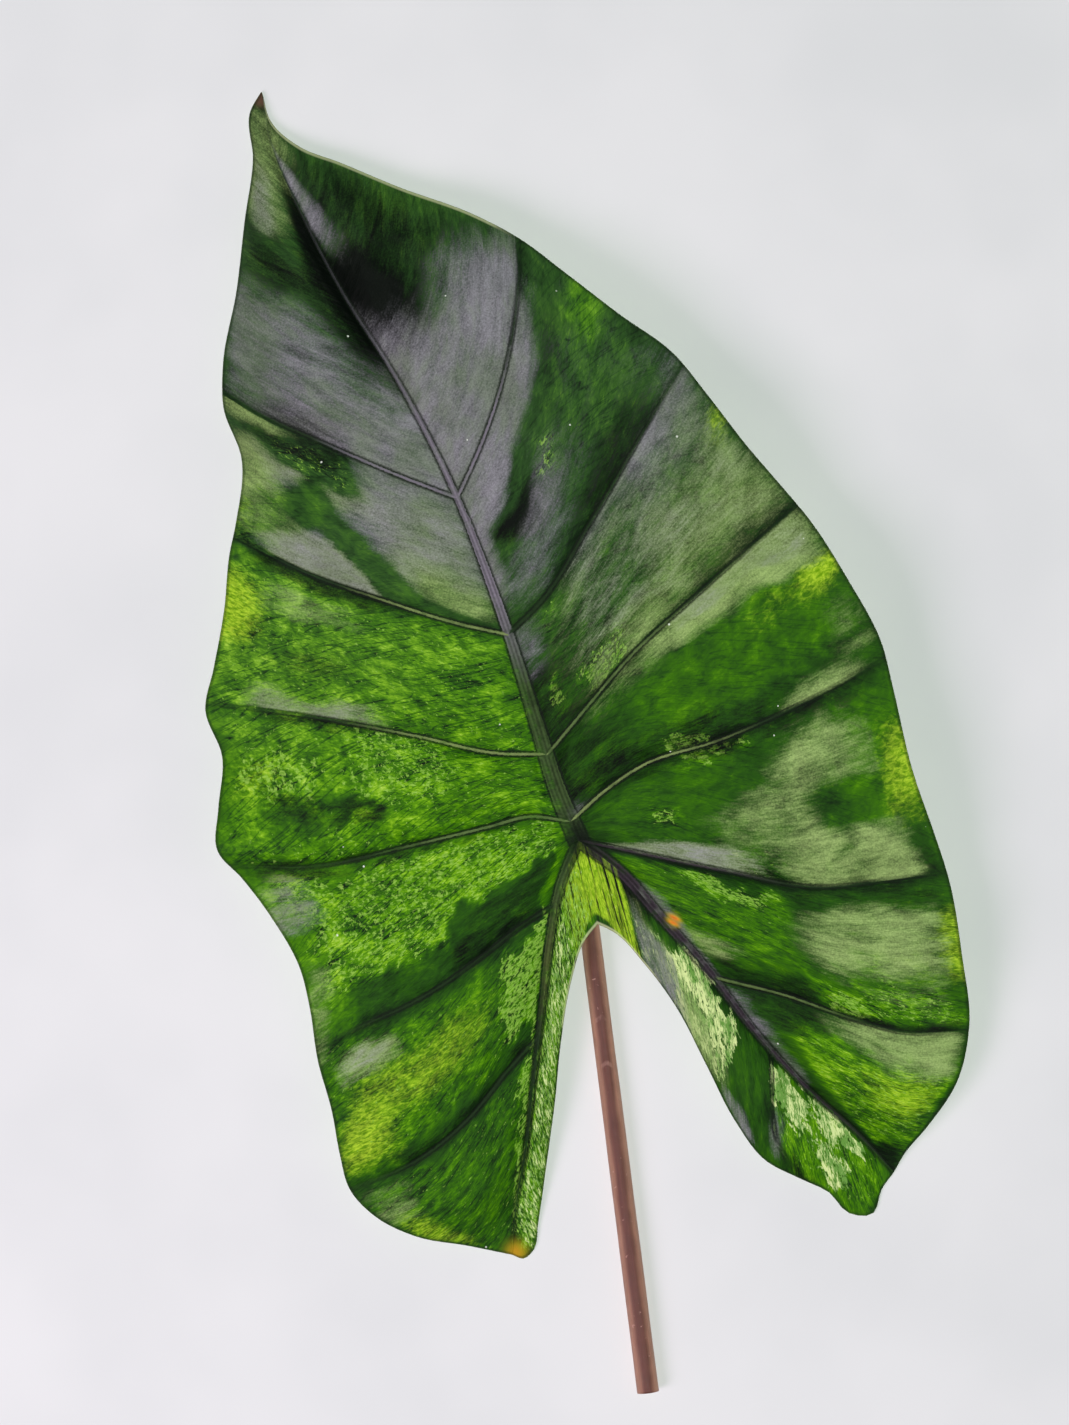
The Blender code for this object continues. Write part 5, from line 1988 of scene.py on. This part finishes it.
@dataclass(frozen=True)
class FloorFinish:
    """Pale matt board with a trace of unevenness."""

    name: str = "pale_board"
    light: Colour = paint(226, 226, 230)
    dark: Colour = paint(218, 219, 223)
    cloud: Grain = Grain(Space.PLACE, (0.09,) * 3, 3.0)
    roughness: float = 0.8

    def material(self) -> bpy.types.Material:
        """The whole finish.

        Returns:
            The material.
        """
        tree = ShaderTree(self.name)
        colour = tree.blend(tree.rise(tree.noise(self.cloud), 0.3, 0.7), self.light, self.dark)
        return tree.close({"Base Color": colour, "Roughness": self.roughness})


# Studio


class LampKind(Enum):
    """How a lamp gives its light."""

    NEAR_SQUARE = "AREA"
    FAR_AND_EVEN = "SUN"


@dataclass(frozen=True)
class Lamp:
    """Soft light. Its azimuth is measured in the picture, from its right, upwards.

    A near square casts the soft shadow. A far and even lamp casts none and reaches the whole
    floor.
    """

    name: str
    kind: LampKind
    azimuth: float
    elevation: float
    strength: float
    colour: Colour
    side: float = 0.8
    distance: float = 1.6


@dataclass(frozen=True)
class Studio:
    """Floor, soft lights and the camera that looks straight down on the leaf."""

    camera_height: float = 1.5
    camera_turn: float = -23.0
    aim: Pair = (2.0, -0.9)
    lens: float = 126.3
    floor_side: float = 6.0
    floor_gap: float = 0.1
    air: Colour = (0.97, 0.975, 1.0)
    air_strength: float = 0.08
    lamps: tuple[Lamp, ...] = (
        Lamp("key_light", LampKind.NEAR_SQUARE, 215, 46, 10.5, (1.0, 0.78, 0.97)),
        Lamp("upper_left_fill", LampKind.FAR_AND_EVEN, 130, 55, 1.0, (0.93, 1.0, 0.92)),
        Lamp("lower_right_fill", LampKind.FAR_AND_EVEN, 305, 55, 0.94, (0.94, 1.0, 0.91)),
        Lamp("upper_right_fill", LampKind.FAR_AND_EVEN, 35, 58, 0.88, (0.93, 1.0, 0.92)),
    )

    def lay_floor(self) -> None:
        """A plain pale floor, a hair below the leaf."""
        mesh = bpy.data.meshes.new("floor")
        half, drop = self.floor_side / 2, -self.floor_gap * MM
        corners = [(-half, -half, drop), (half, -half, drop), (half, half, drop), (-half, half, drop)]
        mesh.from_pydata(corners, [], [(0, 1, 2, 3)])
        mesh.materials.append(FloorFinish().material())
        link("floor", mesh)

    def hang_lamps(self) -> None:
        """Every soft light, aimed at the leaf's middle."""
        for lamp in self.lamps:
            azimuth, rise = math.radians(lamp.azimuth + self.camera_turn), math.radians(lamp.elevation)
            toward = Vector((math.cos(rise) * math.cos(azimuth), math.cos(rise) * math.sin(azimuth),
                             math.sin(rise)))
            data = bpy.data.lights.new(lamp.name, lamp.kind.value)
            data.energy, data.color = lamp.strength, lamp.colour
            data.use_shadow = lamp.kind is LampKind.NEAR_SQUARE
            if data.use_shadow:
                data.size = lamp.side
            light = link(lamp.name, data)
            light.location = toward * lamp.distance
            light.rotation_euler = (-toward).to_track_quat("-Z", "Y").to_euler()

    def fill_air(self) -> None:
        """Even light from all round, and plain display colours."""
        world = bpy.data.worlds.new("air")
        world.use_nodes = True
        background = world.node_tree.nodes["Background"]
        background.inputs["Color"].default_value = (*self.air, 1.0)
        background.inputs["Strength"].default_value = self.air_strength
        bpy.context.scene.world = world
        bpy.context.scene.view_settings.view_transform = "Standard"

    def set_camera(self) -> None:
        """Camera straight above the leaf, turned as the leaf leans in the photograph."""
        data = bpy.data.cameras.new("camera")
        data.lens = self.lens
        camera = link("camera", data)
        camera.location = (self.aim[0] * MM, self.aim[1] * MM, self.camera_height)
        camera.rotation_euler = (0, 0, math.radians(self.camera_turn))
        bpy.context.scene.camera = camera


def dress(piece: bpy.types.Object, material: bpy.types.Material, node: str) -> None:
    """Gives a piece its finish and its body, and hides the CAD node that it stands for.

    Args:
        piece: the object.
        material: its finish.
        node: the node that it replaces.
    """
    piece.data.materials.append(material)
    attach(piece, "root")
    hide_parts(node)
    log.info("%s: %d points, %d faces", piece.name, len(piece.data.vertices), len(piece.data.polygons))


def main() -> None:
    """Builds the studio, the blade and the stalk in order, and centres both on the model's blade."""
    logging.basicConfig(level=logging.INFO, format="%(name)s %(message)s")
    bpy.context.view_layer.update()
    studio = Studio()
    studio.set_camera()
    studio.lay_floor()
    studio.hang_lamps()
    studio.fill_air()
    blade, stalk = LeafBlade(), LeafStalk()
    blade_piece, stalk_piece = blade.build(), stalk.build()
    lowest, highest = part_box(blade.node)
    offset = (lowest + highest) / 2 - box_middle(blade_piece)
    move_mesh(blade_piece, offset)
    move_mesh(stalk_piece, offset)
    dress(blade_piece, BladeFinish().material(), blade.node)
    dress(stalk_piece, StalkFinish().material(), stalk.node)


if __name__ == "__main__":
    main()
